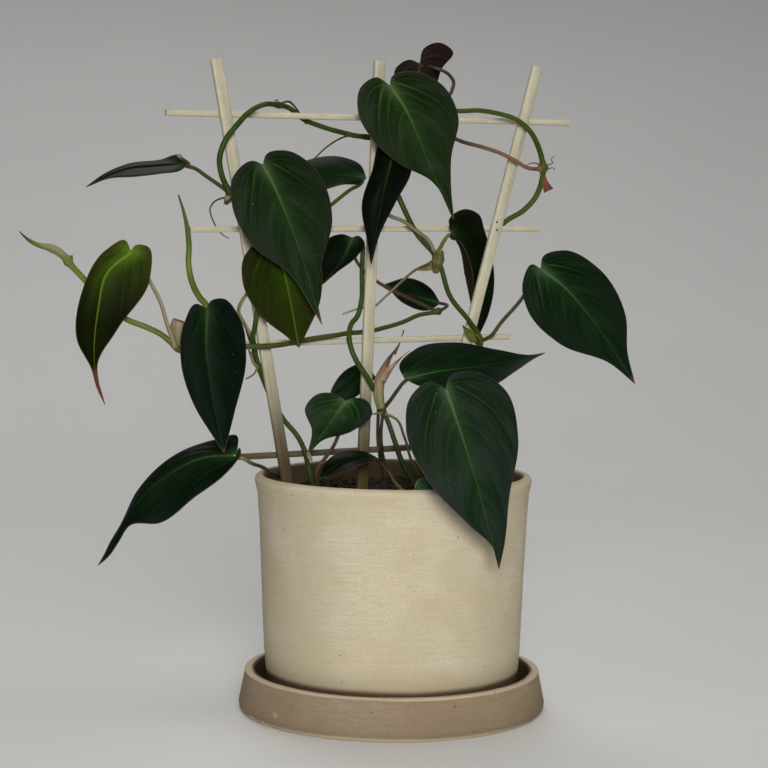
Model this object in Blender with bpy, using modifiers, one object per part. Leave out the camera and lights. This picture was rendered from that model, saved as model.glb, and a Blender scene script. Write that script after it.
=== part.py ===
"""A potted climbing philodendron on a small fan trellis, in a pot that stands on its saucer.

Metres, +Z up. The origin lies on the floor under the middle of the saucer, and -Y is the front.
Leaves and stems are placed by their photograph, 768 pixels wide and high. A row gives a point of
it, as pixels across and down, and how many millimetres that point stands in front of the trellis.
seen() finds the place in space, on the line of sight through that pixel.
"""

import math
from collections import namedtuple

import bmesh
import bpy
import numpy as np
from mathutils import Matrix, Vector, noise

MM = 0.001
GAP = 0.0003

# Viewpoint of the photograph: the eye, the lens in pixels, and the way the view is turned
EYE = Vector((0.0, -1.1, 0.257))
LENS = 2039.0
PICTURE_MIDDLE = 384.0
LOOKS_DOWN = Matrix.Rotation(-0.073, 3, "X")
LEANS = Matrix.Rotation(-0.009, 3, "Y")
TURNS_LEFT = Matrix.Rotation(0.005, 3, "Z")

# Pottery
POT_RIM_RADIUS = 0.075
POT_FOOT_RADIUS = 0.068
POT_TOP = 0.128
POT_WALL = 0.0058
POT_FLOOR = 0.008
DRAIN_RADIUS = 0.007
SAUCER_RADIUS = 0.0833
SAUCER_RIM_RADIUS = 0.0801
SAUCER_HEIGHT = 0.022
SAUCER_WALL = 0.0055
SAUCER_FLOOR = 0.006
POT_BOTTOM = SAUCER_FLOOR + GAP
TURN_STEPS = 48

# Soil
SOIL_TOP = 0.117
SOIL_LUMP = 0.0016
ROOTED = 0.015

# Trellis
TRELLIS_FOOT = Vector((-0.017, -0.009, SOIL_TOP))
TRELLIS_YAW = math.radians(27.0)
TRELLIS_TILT = math.radians(0.6)
STICK_WIDTH = 0.0062
STICK_DEPTH = 0.0028
BAR_HEIGHT = 0.0032
BAR_DEPTH = 0.0030
STICK_IN_SOIL = 0.062
UPRIGHTS = {
    "upright_left": dict(foot=-0.042, top=-0.0825, height=0.230),
    "upright_middle": dict(foot=0.0, top=0.011, height=0.232),
    "upright_right": dict(foot=0.041, top=0.1085, height=0.232),
}
CROSSBARS = {
    "crossbar_1": dict(height=0.2022, left=-0.1090, right=0.1310),
    "crossbar_2": dict(height=0.1430, left=-0.0965, right=0.1120),
    "crossbar_3": dict(height=0.0832, left=-0.0835, right=0.0930),
    "crossbar_4": dict(height=0.024, left=-0.0705, right=0.0720),
}

# Leaves: the midrib has three or four points, from where the stalk meets the blade to the tip.
# The left and right edges run round the lobes to the tip. Lift is how far each edge stands
# forward of the midrib, at even stations, and cup is how far the middle of each half does.
# Rows is the number of stations, fewer on a small leaf.
BLADE_THICKNESS = 0.0007
BLADE_COLUMNS = 3
LOBE_SHARE = 0.2
Leaf = namedtuple("Leaf", "midrib left right lifts cup turned_away rows", defaults=(1.0, False, 12))
LEAVES = {
    "leaf_top": Leaf(
        midrib=[(390, 86, 14), (406, 106, 17), (434, 161, 19), (454, 221, 15)],
        left=[(376, 77.5), (361, 87), (358, 112), (372, 139), (400, 164), (433, 182), (449, 206)],
        right=[(392, 77), (410, 71.5), (443, 86), (458, 116), (451, 158), (451, 190)],
        lifts=([-4], [-4]),
        cup=1.0,
    ),
    "leaf_upper_left": Leaf(
        midrib=[(263, 165, 13), (273, 184, 15), (293, 232, 19), (322, 325, 19)],
        left=[(253, 161), (233, 177), (232, 205), (251, 244), (292, 276), (309, 303)],
        right=[(267, 154), (284, 150.5), (316, 170), (332, 217), (321, 266), (317, 298)],
        lifts=([-2], [-4]),
        cup=1.2,
    ),
    "leaf_olive": Leaf(
        midrib=[(276, 240, 8), (287, 285, 9.5), (299, 348, 11)],
        left=[(262, 240), (244, 257), (243, 284), (262, 317), (288, 338)],
        right=[(295, 237), (318, 258), (321, 296), (306, 334)],
        lifts=([-1], [2]),
        cup=0.4,
    ),
    "leaf_narrow": Leaf(
        midrib=[(398, 137, 8), (384, 190, 15), (371, 265, 12)],
        left=[(386, 136), (372, 172), (362, 204), (367, 240)],
        right=[(412, 141), (411, 172), (395, 203), (379, 236)],
        lifts=([-7], [-8]),
        cup=0.5,
    ),
    "leaf_back_left": Leaf(
        midrib=[(366, 178, -1), (335, 175, -1), (277, 182, 0)],
        left=[(361, 166), (343, 157.5), (312, 159), (288, 170)],
        right=[(361, 183), (343, 184.5), (318, 191), (294, 191)],
        lifts=([-14], [8]),
        cup=1.0,
    ),
    "leaf_behind": Leaf(
        midrib=[(352, 238, -1), (343, 257, -1), (322, 285, 0)],
        left=[(343, 234.5), (329, 238), (321, 256), (318, 274)],
        right=[(358, 236), (364.5, 243), (357, 256), (337, 272)],
        lifts=([1], [0]),
        cup=0.6,
    ),
    "leaf_folded": Leaf(
        midrib=[(451, 232, 2.5), (459, 246, 1), (465, 275, -4), (478, 337, -8)],
        left=[(450, 238), (460, 242), (468, 257), (473, 276), (472, 312)],
        right=[(449, 220), (466, 209), (479, 214.5), (484, 229), (490.5, 251), (494, 285), (487, 318)],
        lifts=([0, 4, 4, 3, 2.5, 2, 0], [0, 0.5, 0.5, 0.4, -3.2, -2.5, -2.5, -2, 0]),
        cup=0.0,
        rows=10,
    ),
    "leaf_right": Leaf(
        midrib=[(541, 269, 11), (560, 283, 14), (592, 319, 17), (635, 384, 16)],
        left=[(532, 264.5), (523, 281), (528, 311), (560, 344), (611, 364)],
        right=[(543, 257), (563, 250.5), (599, 269), (625, 314), (627.5, 354)],
        lifts=([-4], [-6]),
        cup=1.2,
    ),
    "leaf_flat": Leaf(
        midrib=[(405, 379, 18), (440, 371, 22), (482, 366, 24), (545, 353, 21)],
        left=[(399.5, 367), (416, 349), (452, 342.5), (498, 350), (532, 355)],
        right=[(415, 384), (447, 393), (488, 388), (518, 369.5), (535, 358)],
        lifts=([-12], [20]),
        cup=1.0,
    ),
    "leaf_over_rim": Leaf(
        midrib=[(446, 389, 62), (457, 421, 80), (475, 478, 97), (499, 569, 94)],
        left=[(430, 382), (411, 396), (406, 428), (428, 481), (468, 524), (495, 551)],
        right=[(449, 378), (473, 372), (505, 390), (518, 438), (509, 497), (504, 546)],
        lifts=([-3], [-5]),
        cup=1.5,
    ),
    "leaf_small": Leaf(
        midrib=[(346, 401, 10), (333, 418, 12), (307, 456, 15)],
        left=[(334, 394), (317, 394.5), (305, 408), (312, 430)],
        right=[(355, 398), (367, 401), (372, 412), (352, 431), (321, 441)],
        lifts=([-3], [-3]),
        cup=1.0,
    ),
    "leaf_low": Leaf(
        midrib=[(379, 459, 15), (350, 461, 16), (318, 479, 14)],
        left=[(366, 452.5), (345, 451), (327, 461)],
        right=[(369, 462), (351, 468.5), (332, 476)],
        lifts=([-10], [10]),
        cup=0.5,
    ),
    "leaf_bottom_left": Leaf(
        midrib=[(236, 455, 2), (205, 457, -1), (160, 480, -8), (98, 566, -22)],
        left=[(237, 436), (214, 440), (175, 455), (138, 490), (119, 530)],
        right=[(241, 449), (229, 470), (195, 497), (160, 523), (129, 525)],
        lifts=([-12], [8]),
        cup=0.8,
    ),
    "leaf_left": Leaf(
        midrib=[(207, 309, 8), (206, 345, 10), (213, 400, 14), (224, 453, 17)],
        left=[(196, 304), (184, 324), (181, 362), (194, 405), (212, 435)],
        right=[(211, 301), (222, 298.5), (240, 319), (246, 356), (234, 414)],
        lifts=([-2], [0]),
        cup=1.2,
    ),
    "leaf_far_left": Leaf(
        midrib=[(131, 252, -20), (108, 271, -19), (98, 310, -20), (95, 366, -25), (105, 405, -26)],
        left=[(125, 240.5), (106, 250), (82, 292), (77, 340), (92, 370), (97, 388)],
        right=[(135, 245.5), (147, 246), (150, 278), (117, 330), (97.5, 366), (100, 389)],
        lifts=([-4], [3]),
        cup=0.8,
    ),
    "leaf_edge_on": Leaf(
        midrib=[(187, 164, -15), (160, 166, -20), (130, 169, -27), (86, 187, -36)],
        left=[(180, 155.5), (160, 160), (130, 163.5), (105, 173.5)],
        right=[(183, 168.5), (160, 173.5), (135, 176.5), (108, 178.5)],
        lifts=([-15], [15]),
        cup=0.5,
    ),
    "leaf_back_top": Leaf(
        turned_away=True,
        midrib=[(420, 64, -36), (418, 84, -36), (420, 112, -34)],
        left=[(410, 60), (396, 68), (396, 90)],
        right=[(424, 48), (440, 42), (453, 52), (442, 68), (434, 92)],
        lifts=([-2], [-3]),
        cup=0.8,
        rows=10,
    ),
    "leaf_back_right": Leaf(
        turned_away=True,
        midrib=[(440, 303, -36), (415, 296, -37), (385, 284, -40)],
        left=[(430, 288), (408, 278)],
        right=[(430, 310), (403, 303)],
        lifts=([-3], [2]),
        cup=0.6,
        rows=8,
    ),
    "leaf_back_low": Leaf(
        midrib=[(372, 370, -35), (355, 382, -36), (328, 402, -38)],
        left=[(366, 364), (349, 368), (333, 386)],
        right=[(373, 380), (360, 394), (341, 403)],
        lifts=([-3], [2]),
        cup=0.6,
        rows=8,
    ),
    "leaf_young": Leaf(
        midrib=[(424, 492, 60), (425, 485, 61), (426, 478, 59)],
        left=[(415, 489), (418, 480)],
        right=[(433, 489), (431, 481)],
        lifts=([-0.5], [-0.5]),
        cup=0.2,
        rows=6,
    ),
}

# Stems: each run is a tapering tube with radii in millimetres. It can start at a foot in the soil,
# given as metres across and back, and it can end behind the leaf that it carries.
Run = namedtuple("Run", "radii points foot leaf", defaults=(None, None))
STEMS = {
    "vine_right": [
        Run([1.7, 1.6], [
            (467, 440, 9), (472, 400, 3), (478, 360, 2), (480, 338, 5), (470, 322, 5.4),
            (451, 298, 2), (437, 258, 0.5), (417, 234, 1.2), (400, 200, -1.5), (385, 165, -6.5),
            (376, 141, -7), (352, 135, -7), (320, 126, -8.5), (303, 119, -9), (290, 108.5, -8.6),
            (277, 105, -4.3), (264, 104.5, 1.2), (252, 110, 3.4), (237, 125, 5.4),
            (225, 141, 4.8), (219.5, 160, 4.2), (222, 176, 3.6), (231, 195, 3.4),
        ], foot=(0.038, 0.002)),
        Run([1.6, 1.6, 1.5], [
            (478, 356, 2), (470, 353, -5), (466, 343, -9.5), (472, 320, -11), (480, 290, -13),
            (489, 258, -12), (496, 232, -9), (505, 222, -7.5), (524, 210, -3), (535, 198, 0),
            (541, 184, 2), (543, 168, 3), (538, 146, 4), (529, 130, 5.5), (517, 120, 6),
            (500, 114, 5.5), (479, 110.5, 4), (458, 111, 3), (440, 109, 0),
        ]),
        Run([1.1, 1.0], [
            (542, 169, 3), (528, 168, 4.5), (514, 160, 6), (500, 153, 6), (482, 147, 6),
            (458, 140, 6.5), (430, 120, 7), (405, 97, 9.5),
        ], leaf="leaf_top"),
        Run([1.1, 0.9], [
            (440, 109, 0), (446, 100, -10), (452, 90, -18), (453, 80, -24), (447, 73, -28),
            (435, 68, -32), (426, 66, -37),
        ], leaf="leaf_back_top"),
        Run([1.1, 1.0], [
            (481, 341, 5), (491, 336, 3.5), (500, 324, 5), (523, 297, 5.5), (533, 281, 8),
        ], leaf="leaf_right"),
        Run([1.1, 1.0], [(437, 256, 0.5), (444, 241, 0.5), (449, 235, 0.8)], leaf="leaf_folded"),
        Run([1.1, 1.0], [
            (436, 257, 0.5), (429, 241, 2.5), (418, 232, 4), (403, 221, 3.6), (388, 214, 3),
            (388, 190, 3), (393, 160, 3), (397, 145, 5),
        ], leaf="leaf_narrow"),
        Run([0.8, 0.5], [
            (437, 258, 0.5), (428, 264, -0.5), (417, 269, -1), (399, 284, -2), (384, 298, -4.5),
            (372, 308, -7.2), (361, 308, -7.4), (354, 310, -6), (343, 314, -4),
        ]),
        Run([1.6, 3.2, 1.2], [(435, 271, 0.5), (439, 260, 2), (437, 249, 2)]),
        Run([1.2, 2.2, 0.8], [(480, 342, 4), (473, 336, 5.6), (465, 329, 5.2)]),
        Run([0.7, 0.4], [(366, 135, -7), (344, 137, -6), (328, 146, -5), (314, 159, -4)]),
        Run([0.7, 0.4], [(280, 104, -5), (290, 102, -10.5), (300, 114, -12), (306, 124, -11)]),
        Run([1.1, 1.0], [(230, 193, 3.4), (245, 184, 6), (257, 173, 8)], leaf="leaf_upper_left"),
        Run([1.1, 1.0], [(229, 192, 3.4), (206, 176, -6), (194, 168, -12.5)], leaf="leaf_edge_on"),
        Run([1.4, 1.8, 0.5], [(231, 193, 3.4), (227, 198, 2.6), (224, 202, 2)]),
        Run([0.6, 0.5], [
            (230, 196, 3), (214, 202, -2), (210, 209, -5), (212, 218, -6.5), (217, 228, -7),
            (223, 235, -6.5), (230, 239, -6),
        ]),
        Run([1.0, 1.6, 0.5], [(542, 170, 3), (545, 184, 3.5), (549, 191, 4)]),
        Run([0.5, 0.3], [(543, 166, 3), (549, 160, 5), (555, 157, 6)]),
        Run([0.5, 0.3], [(541, 166, 3), (535, 163, 5), (529, 165, 6)]),
    ],
    "vine_middle": [
        Run([1.6, 1.4], [
            (402, 462, 14), (394, 439, 9), (387, 419, 5), (381, 406, 4.6), (374, 389, 5),
            (367, 377, 5), (356, 360, 3), (351, 348, 1), (349, 334, -0.3), (352, 323, -3),
            (357, 317, -4.4), (361, 303, -4.7), (362, 270, -4.7), (363, 246, -4.7),
        ], foot=(0.014, -0.016)),
        Run([1.4, 1.6], [
            (439, 311, -6), (433, 312.5, -6), (419, 315, -5.5), (403, 322, -5), (385, 327.5, -4.8),
            (368, 331.5, -4.5), (358, 332.5, -3.4), (349, 333, -2), (338, 335, 0), (320, 337.5, 0.8),
            (302, 340.5, 1), (285, 344, 3), (268, 346, 4.4), (247, 346.5, 4.2), (232, 347.5, 1.5),
            (217, 348.5, 0.2), (205, 348.5, -3), (190, 348, -9), (176, 345, -15), (166, 336, -17),
            (146, 327, -20), (126, 319, -25), (105, 300, -31), (85, 280, -34), (70, 264, -37),
            (60, 250, -40),
        ]),
        Run([1.7, 2.6, 1.5, 0.4], [
            (62, 253, -39), (55, 248, -41), (45, 245, -43), (31, 241, -47), (19, 231, -50),
        ]),
        Run([1.1, 1.0], [
            (174, 343, -15), (168, 327, -17), (160, 301, -21), (149, 280, -24.5), (139, 263, -25),
        ], leaf="leaf_far_left"),
        Run([1.5, 1.7, 1.6, 1.4, 0.4], [
            (200, 348, -5), (205, 335, -1), (207, 318, 3), (206, 305, 3.6), (200, 298, 4),
            (192, 282, 5), (188.5, 263, 6), (189, 246, 7), (187.5, 230, 7), (183.5, 211, 7), (178.5, 195, 7),
        ]),
        Run([1.1, 1.0], [(206.5, 324, 2.5), (207, 315, 4.5)], leaf="leaf_left"),
        Run([1.0, 0.9], [
            (438, 312, -6), (410, 298.5, -7), (385, 286.5, -7.5), (363, 270, -8.2), (355, 258, -6.5),
            (352.5, 246, -4),
        ], leaf="leaf_behind"),
        Run([1.1, 1.0], [(383, 409, 4.6), (389, 402, 8), (397, 391, 13), (402, 384, 15)], leaf="leaf_flat"),
        Run([2.2, 2.9, 2.7, 2.2, 1.4, 0.4], [
            (381, 411, 5), (379, 401, 5.2), (379, 390, 5.2), (384, 374, 3), (391, 361, 0), (399, 346, -3),
        ]),
        Run([2.0, 2.0, 1.3, 0.4], [(380, 384, 5.4), (388, 372, 5.4), (397, 361, 5), (409, 350, 5)]),
        Run([0.7, 0.4], [(397, 350, -2), (401, 340, -6.5), (404, 330, -8)]),
        Run([1.0, 0.9], [(389, 474, 9), (385, 464, 8), (381, 433, 6), (383, 412, 5)], foot=(0.004, -0.008)),
        Run([0.8, 0.7], [(412, 462, 30), (404, 436, 18), (396, 419, 9), (384, 413, 5)], foot=(0.020, -0.030)),
        Run([0.7, 0.4], [(382, 413, 5), (372, 414, 6.5)]),
        Run([1.5, 2.6, 3.0, 1.6], [(177, 347, -15), (175, 339, -14), (177, 330, -12.5), (181, 320, -12)]),
        Run([1.0, 0.9], [(439, 311, -6), (446, 307, -20), (444, 304, -33)], leaf="leaf_back_right"),
    ],
    "vine_low": [
        Run([1.4, 1.3], [
            (308, 466, 1.2), (305, 452, 0.4), (298, 437, -1.5), (284, 420, -4), (271, 398, -4),
            (265, 384, -3.8), (259, 368, -3.2), (256, 357, -1.4), (254, 347, 0.2), (253, 336, 2),
            (255, 326, 3.8), (257, 312, 4.2), (262, 290, 4.6), (270, 262, 5), (284, 242, 5),
            (292, 229, 5),
        ], foot=(-0.0415, -0.024)),
        Run([1.0, 0.9], [
            (256, 350, 0.6), (250, 334, -2), (243, 321, -3), (238.5, 311, -1), (242, 301, 2),
            (249, 291, 4.3), (262, 264, 4.4), (272, 246, 5),
        ], leaf="leaf_olive"),
        Run([1.1, 1.0], [
            (290, 231, 5), (312, 220, 5), (331, 205, 4), (350, 190, 2), (362, 182, -0.5),
        ], leaf="leaf_back_left"),
        Run([1.0, 1.6, 0.6], [(258, 367, -3), (253, 358, -1), (249, 349, 0)]),
        Run([0.6, 0.4], [(258, 366, -3), (254, 374, -1), (246, 379, 0)]),
    ],
    "petiole_small": [
        Run([1.1, 0.9], [(317, 470, 20), (326, 457, 20), (336, 441, 11), (343, 420, 6), (346, 408, 7)],
            foot=(-0.038, -0.043), leaf="leaf_small"),
    ],
    "petiole_low": [
        Run([1.0, 0.9], [(396, 484, 19), (386, 469, 14)], foot=(0.007, -0.026), leaf="leaf_low"),
    ],
    "petiole_over_rim": [
        Run([1.2, 1.1], [(452, 450, 47), (451, 420, 50), (448, 400, 54)],
            foot=(0.034, -0.035), leaf="leaf_over_rim"),
    ],
    "petiole_bottom_left": [
        Run([1.1, 1.0], [
            (282, 478, -18.5), (274, 474, -16), (262, 467, -9.5), (251, 463, -1.2), (244, 459, 1.6),
        ], foot=(-0.052, -0.005), leaf="leaf_bottom_left"),
    ],
    "petiole_back_low": [
        Run([1.0, 0.9], [(378, 440, -24), (378, 400, -29), (375, 379, -36)],
            foot=(-0.005, 0.022), leaf="leaf_back_low"),
    ],
    "petiole_young": [
        Run([0.9, 0.7], [(426, 498, 58), (424.2, 493.2, 59.4)], foot=(0.018, -0.052)),
    ],
}
STEM_STEP = 0.009


def clear_scene():
    for obj in list(bpy.data.objects):
        bpy.data.objects.remove(obj, do_unlink=True)


def collection(name, parent, hidden=False):
    made = bpy.data.collections.new(name)
    parent.children.link(made)
    made.hide_render = hidden
    return made


def material(name, color, roughness):
    made = bpy.data.materials.new(name)
    made.use_nodes = True
    shader = made.node_tree.nodes["Principled BSDF"]
    shader.inputs["Base Color"].default_value = (*color, 1.0)
    shader.inputs["Roughness"].default_value = roughness
    shader.inputs["Metallic"].default_value = 0.0
    made.diffuse_color = (*color, 1.0)
    return made


def add_object(name, data, home, finish=None):
    obj = bpy.data.objects.new(name, data)
    home.objects.link(obj)
    if finish:
        data.materials.clear()
        data.materials.append(finish)
    return obj


def add_cutter(name, data, home):
    obj = add_object(name, data, home)
    obj.hide_render = True
    obj.display_type = "WIRE"
    return obj


def combine(obj, operation, others, solver="EXACT"):
    """Adds a live Boolean of the object with a collection of helpers."""
    step = obj.modifiers.new(operation.lower(), "BOOLEAN")
    step.operation = operation
    step.operand_type = "COLLECTION"
    step.collection = others
    step.solver = solver


def settled(obj):
    """The object's evaluated mesh, welded and in world space."""
    graph = bpy.context.evaluated_depsgraph_get()
    mesh = bpy.data.meshes.new_from_object(obj.evaluated_get(graph))
    mesh.transform(obj.matrix_world)
    shape = bmesh.new()
    shape.from_mesh(mesh)
    bmesh.ops.remove_doubles(shape, verts=shape.verts, dist=1e-5)
    shape.to_mesh(mesh)
    shape.free()
    return mesh


def trellis_axes():
    """Unit vectors along the crossbars, up the trellis, and out of its front face."""
    level = Vector((math.cos(TRELLIS_YAW), math.sin(TRELLIS_YAW), 0.0))
    front = Vector((math.sin(TRELLIS_YAW), -math.cos(TRELLIS_YAW), 0.0))
    turn = Matrix.Rotation(TRELLIS_TILT, 3, front)
    return turn @ level, turn @ Vector((0.0, 0.0, 1.0)), front


ALONG, RISE, FRONT = trellis_axes()


def seen(across, down, front):
    """The point in line with a pixel of the photograph, front mm before the trellis."""
    ray = Vector((across - PICTURE_MIDDLE, LENS, PICTURE_MIDDLE - down))
    sight = TURNS_LEFT @ LOOKS_DOWN @ LEANS @ ray
    reach = (front * MM - (EYE - TRELLIS_FOOT).dot(FRONT)) / sight.dot(FRONT)
    return EYE + sight * reach


def smooth(points, count):
    """Evenly spaced points on a rounded curve through the given points."""
    knots = np.array(points, float)
    run = np.concatenate([[0.0], np.cumsum(np.linalg.norm(np.diff(knots, axis=0), axis=1))])
    slopes = np.gradient(knots, run, axis=0)
    fine = []
    for k in range(len(knots) - 1):
        t = np.linspace(0.0, 1.0, 14)[:, None]
        width = run[k + 1] - run[k]
        start = (2 * t**3 - 3 * t**2 + 1) * knots[k] + (t**3 - 2 * t**2 + t) * width * slopes[k]
        finish = (3 * t**2 - 2 * t**3) * knots[k + 1] + (t**3 - t**2) * width * slopes[k + 1]
        fine.append(start + finish)
    fine = np.vstack(fine)
    run = np.concatenate([[0.0], np.cumsum(np.linalg.norm(np.diff(fine, axis=0), axis=1))])
    even = np.linspace(0.0, run[-1], count)
    return np.stack([np.interp(even, run, fine[:, k]) for k in range(fine.shape[1])], axis=1)


def half_blade(leaf, side, lifts):
    """Points of half a blade, a row for each station, which are closest together round the lobe."""
    midrib = smooth(leaf.midrib, 101)
    edge = smooth([leaf.midrib[0][:2], *getattr(leaf, side), leaf.midrib[-1][:2]], 101)
    stations = np.linspace(0.0, 1.0, leaf.rows) ** 1.3
    lift = np.interp(stations, np.linspace(0.0, 1.0, len(lifts)), lifts)
    rows = []
    for k, t in enumerate(stations):
        foot = midrib[round(100 * max(0.0, (t - LOBE_SHARE) / (1 - LOBE_SHARE)))]
        swell = math.sin(math.pi * t**0.75)
        row = []
        for v in np.linspace(0.0, 1.0, BLADE_COLUMNS + 1):
            across, down = foot[:2] * (1 - v) + edge[round(100 * t)] * v
            bow = lift[k] * v**1.5 + leaf.cup * 4 * v * (1 - v)
            row.append(seen(across, down, foot[2] + swell * bow))
        rows.append(row)
    return rows


def blade_surface(name):
    """The open surface of a whole blade, in triangles."""
    leaf = LEAVES[name]
    shape = bmesh.new()
    for side, lift, turned in (("left", leaf.lifts[0], False), ("right", leaf.lifts[1], True)):
        rows = [[shape.verts.new(p) for p in row] for row in half_blade(leaf, side, lift)]
        for near, far in zip(rows, rows[1:]):
            for k in range(BLADE_COLUMNS):
                corners = [near[k], far[k], far[k + 1], near[k + 1]]
                shape.faces.new(corners[::-1] if turned else corners)
    bmesh.ops.remove_doubles(shape, verts=shape.verts, dist=2e-5)
    bmesh.ops.triangulate(shape, faces=shape.faces)
    mesh = bpy.data.meshes.new(name)
    shape.to_mesh(mesh)
    shape.free()
    mesh.shade_smooth()
    return mesh


def thicken(obj, thickness):
    step = obj.modifiers.new("thickness", "SOLIDIFY")
    step.thickness = thickness
    step.offset = 0.0


def stalk_end(name):
    """Where a stalk meets the back of the leaf that it carries."""
    leaf = LEAVES[name]
    base, further = (seen(*point) for point in leaf.midrib[:2])
    left = half_blade(leaf, "left", leaf.lifts[0])[leaf.rows // 3][-1]
    right = half_blade(leaf, "right", leaf.lifts[1])[leaf.rows // 3][-1]
    back = (further - base).cross(right - left).normalized()
    if (back.dot(base - EYE) < 0.0) != leaf.turned_away:
        back = -back
    return base + back * 0.0011 + (further - base).normalized() * 0.0012


def tube(name, points, radii, home):
    """A tapering tube through the points, as a closed mesh."""
    curve = bpy.data.curves.new(name, "CURVE")
    curve.dimensions = "3D"
    curve.bevel_depth = MM
    curve.bevel_resolution = 1
    curve.use_fill_caps = True
    spline = curve.splines.new("POLY")
    spline.points.add(len(points) - 1)
    stations = np.linspace(0.0, 1.0, len(points))
    shares = np.interp(stations, np.linspace(0.0, 1.0, len(radii)), radii)
    for knot, point, share in zip(spline.points, points, shares):
        knot.co = (*point, 1.0)
        knot.radius = share
    draft = add_object(name, curve, home)
    made = add_cutter(name + "_mesh", settled(draft), home)
    bpy.data.objects.remove(draft)
    return made


def run_points(run):
    """Points along a run. It stands upright in its hole in the soil."""
    points = [seen(*point) for point in run.points]
    if run.leaf:
        points.append(stalk_end(run.leaf))
    if run.foot:
        points.insert(0, Vector((*run.foot, SOIL_TOP + 0.003)))
    length = sum((b - a).length for a, b in zip(points, points[1:]))
    spread = smooth(points, max(4, round(length / STEM_STEP)))
    if run.foot:
        return np.vstack([(*run.foot, SOIL_TOP - ROOTED), spread])
    return spread


def build_stem(name, runs, home, helpers, finish):
    """One closed body of all the runs, cut clear of the leaves that it carries."""
    others = collection(name + "_runs", helpers, hidden=True)
    blades = collection(name + "_blades", helpers, hidden=True)
    for number, run in enumerate(runs):
        made = tube(f"{name}_run_{number}", run_points(run), run.radii, others)
        if number == 0:
            body = add_object(name, made.data, home, finish)
            others.objects.unlink(made)
            bpy.data.objects.remove(made)
        if run.leaf:
            blade = add_cutter(f"{run.leaf}_clearance", blade_surface(run.leaf), blades)
            thicken(blade, BLADE_THICKNESS + 2 * GAP)
    if len(runs) > 1:
        combine(body, "UNION", others)
    if len(blades.objects):
        combine(body, "DIFFERENCE", blades, "MANIFOLD")
    return body


def arc(center, radius, start, end, count):
    """Profile points on an arc, with angles in degrees from +X."""
    angles = np.radians(np.linspace(start, end, count))
    return [(center[0] + radius * math.cos(a), center[1] + radius * math.sin(a)) for a in angles]


def turned(name, profile, home, finish, closed=False, steps=TURN_STEPS):
    """A shape turned about Z from a profile of (radius, height) points."""
    shape = bmesh.new()
    verts = [shape.verts.new((radius, 0.0, height)) for radius, height in profile]
    for a, b in zip(verts, verts[1:]):
        shape.edges.new((a, b))
    if closed:
        shape.edges.new((verts[-1], verts[0]))
    mesh = bpy.data.meshes.new(name)
    shape.to_mesh(mesh)
    shape.free()
    obj = add_object(name, mesh, home, finish)
    screw = obj.modifiers.new("turn", "SCREW")
    screw.steps = steps
    screw.render_steps = steps
    screw.use_merge_vertices = True
    screw.merge_threshold = 1e-5
    return obj


def pot_inside(height):
    """The pot's inner radius at a height."""
    share = (height - POT_BOTTOM) / (POT_TOP - POT_BOTTOM)
    outer = POT_FOOT_RADIUS + (POT_RIM_RADIUS - POT_FOOT_RADIUS) * share
    return outer - POT_WALL - 0.0004


def build_pot(home, finish):
    lip = POT_WALL / 2
    inner_floor = POT_BOTTOM + POT_FLOOR
    profile = [
        *arc((POT_RIM_RADIUS - lip, POT_TOP - lip), lip, 90, 0, 4),
        (POT_RIM_RADIUS - 0.0014, POT_TOP - 0.0095),
        (POT_RIM_RADIUS - 0.0024, POT_TOP - 0.024),
        (POT_FOOT_RADIUS + 0.0018, POT_BOTTOM + 0.030),
        (POT_FOOT_RADIUS, POT_BOTTOM + 0.004),
        (POT_FOOT_RADIUS - 0.004, POT_BOTTOM),
        (DRAIN_RADIUS, POT_BOTTOM),
        (DRAIN_RADIUS, inner_floor),
        (pot_inside(inner_floor) - 0.005, inner_floor),
        (pot_inside(inner_floor + 0.005), inner_floor + 0.005),
        (pot_inside(POT_TOP - 0.006), POT_TOP - 0.006),
        *arc((POT_RIM_RADIUS - lip, POT_TOP - lip), lip, 170, 120, 2),
    ]
    return turned("pot", profile, home, finish, closed=True)


def build_saucer(home, finish):
    lip = SAUCER_WALL / 2
    inner = SAUCER_RIM_RADIUS - SAUCER_WALL
    profile = [
        (0.0, SAUCER_FLOOR),
        (inner - 0.004, SAUCER_FLOOR),
        (inner - 0.001, SAUCER_FLOOR + 0.003),
        *arc((SAUCER_RIM_RADIUS - lip, SAUCER_HEIGHT - lip), lip, 180, 0, 5),
        (SAUCER_RADIUS, 0.0045),
        (SAUCER_RADIUS - 0.0004, 0.0018),
        (SAUCER_RADIUS - 0.002, 0.0),
        (0.0, 0.0),
    ]
    return turned("saucer", profile, home, finish)


def lumps(x, y):
    """How far the soil's surface rises at a place."""
    place = Vector((x, y, 0.0))
    return SOIL_LUMP * (noise.noise(place * 90.0) + 0.6 * noise.noise(place * 210.0))


def build_soil(home, helpers, finish):
    bottom = POT_BOTTOM + POT_FLOOR + GAP
    top_radius = pot_inside(SOIL_TOP) - GAP
    bottom_radius = pot_inside(bottom + 0.006) - GAP
    rings = [(top_radius * share, SOIL_TOP) for share in (0.0, 0.16, 0.33, 0.5, 0.67, 0.84, 1.0)]
    profile = [*rings, (bottom_radius, bottom + 0.006), (bottom_radius - 0.007, bottom), (0.0, bottom)]
    draft = turned("soil_draft", profile, helpers, finish, steps=40)
    mesh = settled(draft)
    bpy.data.objects.remove(draft)
    for vert in mesh.vertices:
        if vert.co.z > SOIL_TOP - 0.001 and vert.co.xy.length < 0.95 * top_radius:
            vert.co.z += lumps(vert.co.x, vert.co.y)
    soil = add_object("soil", mesh, home, finish)
    combine(soil, "DIFFERENCE", build_soil_holes(helpers))
    return soil


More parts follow.
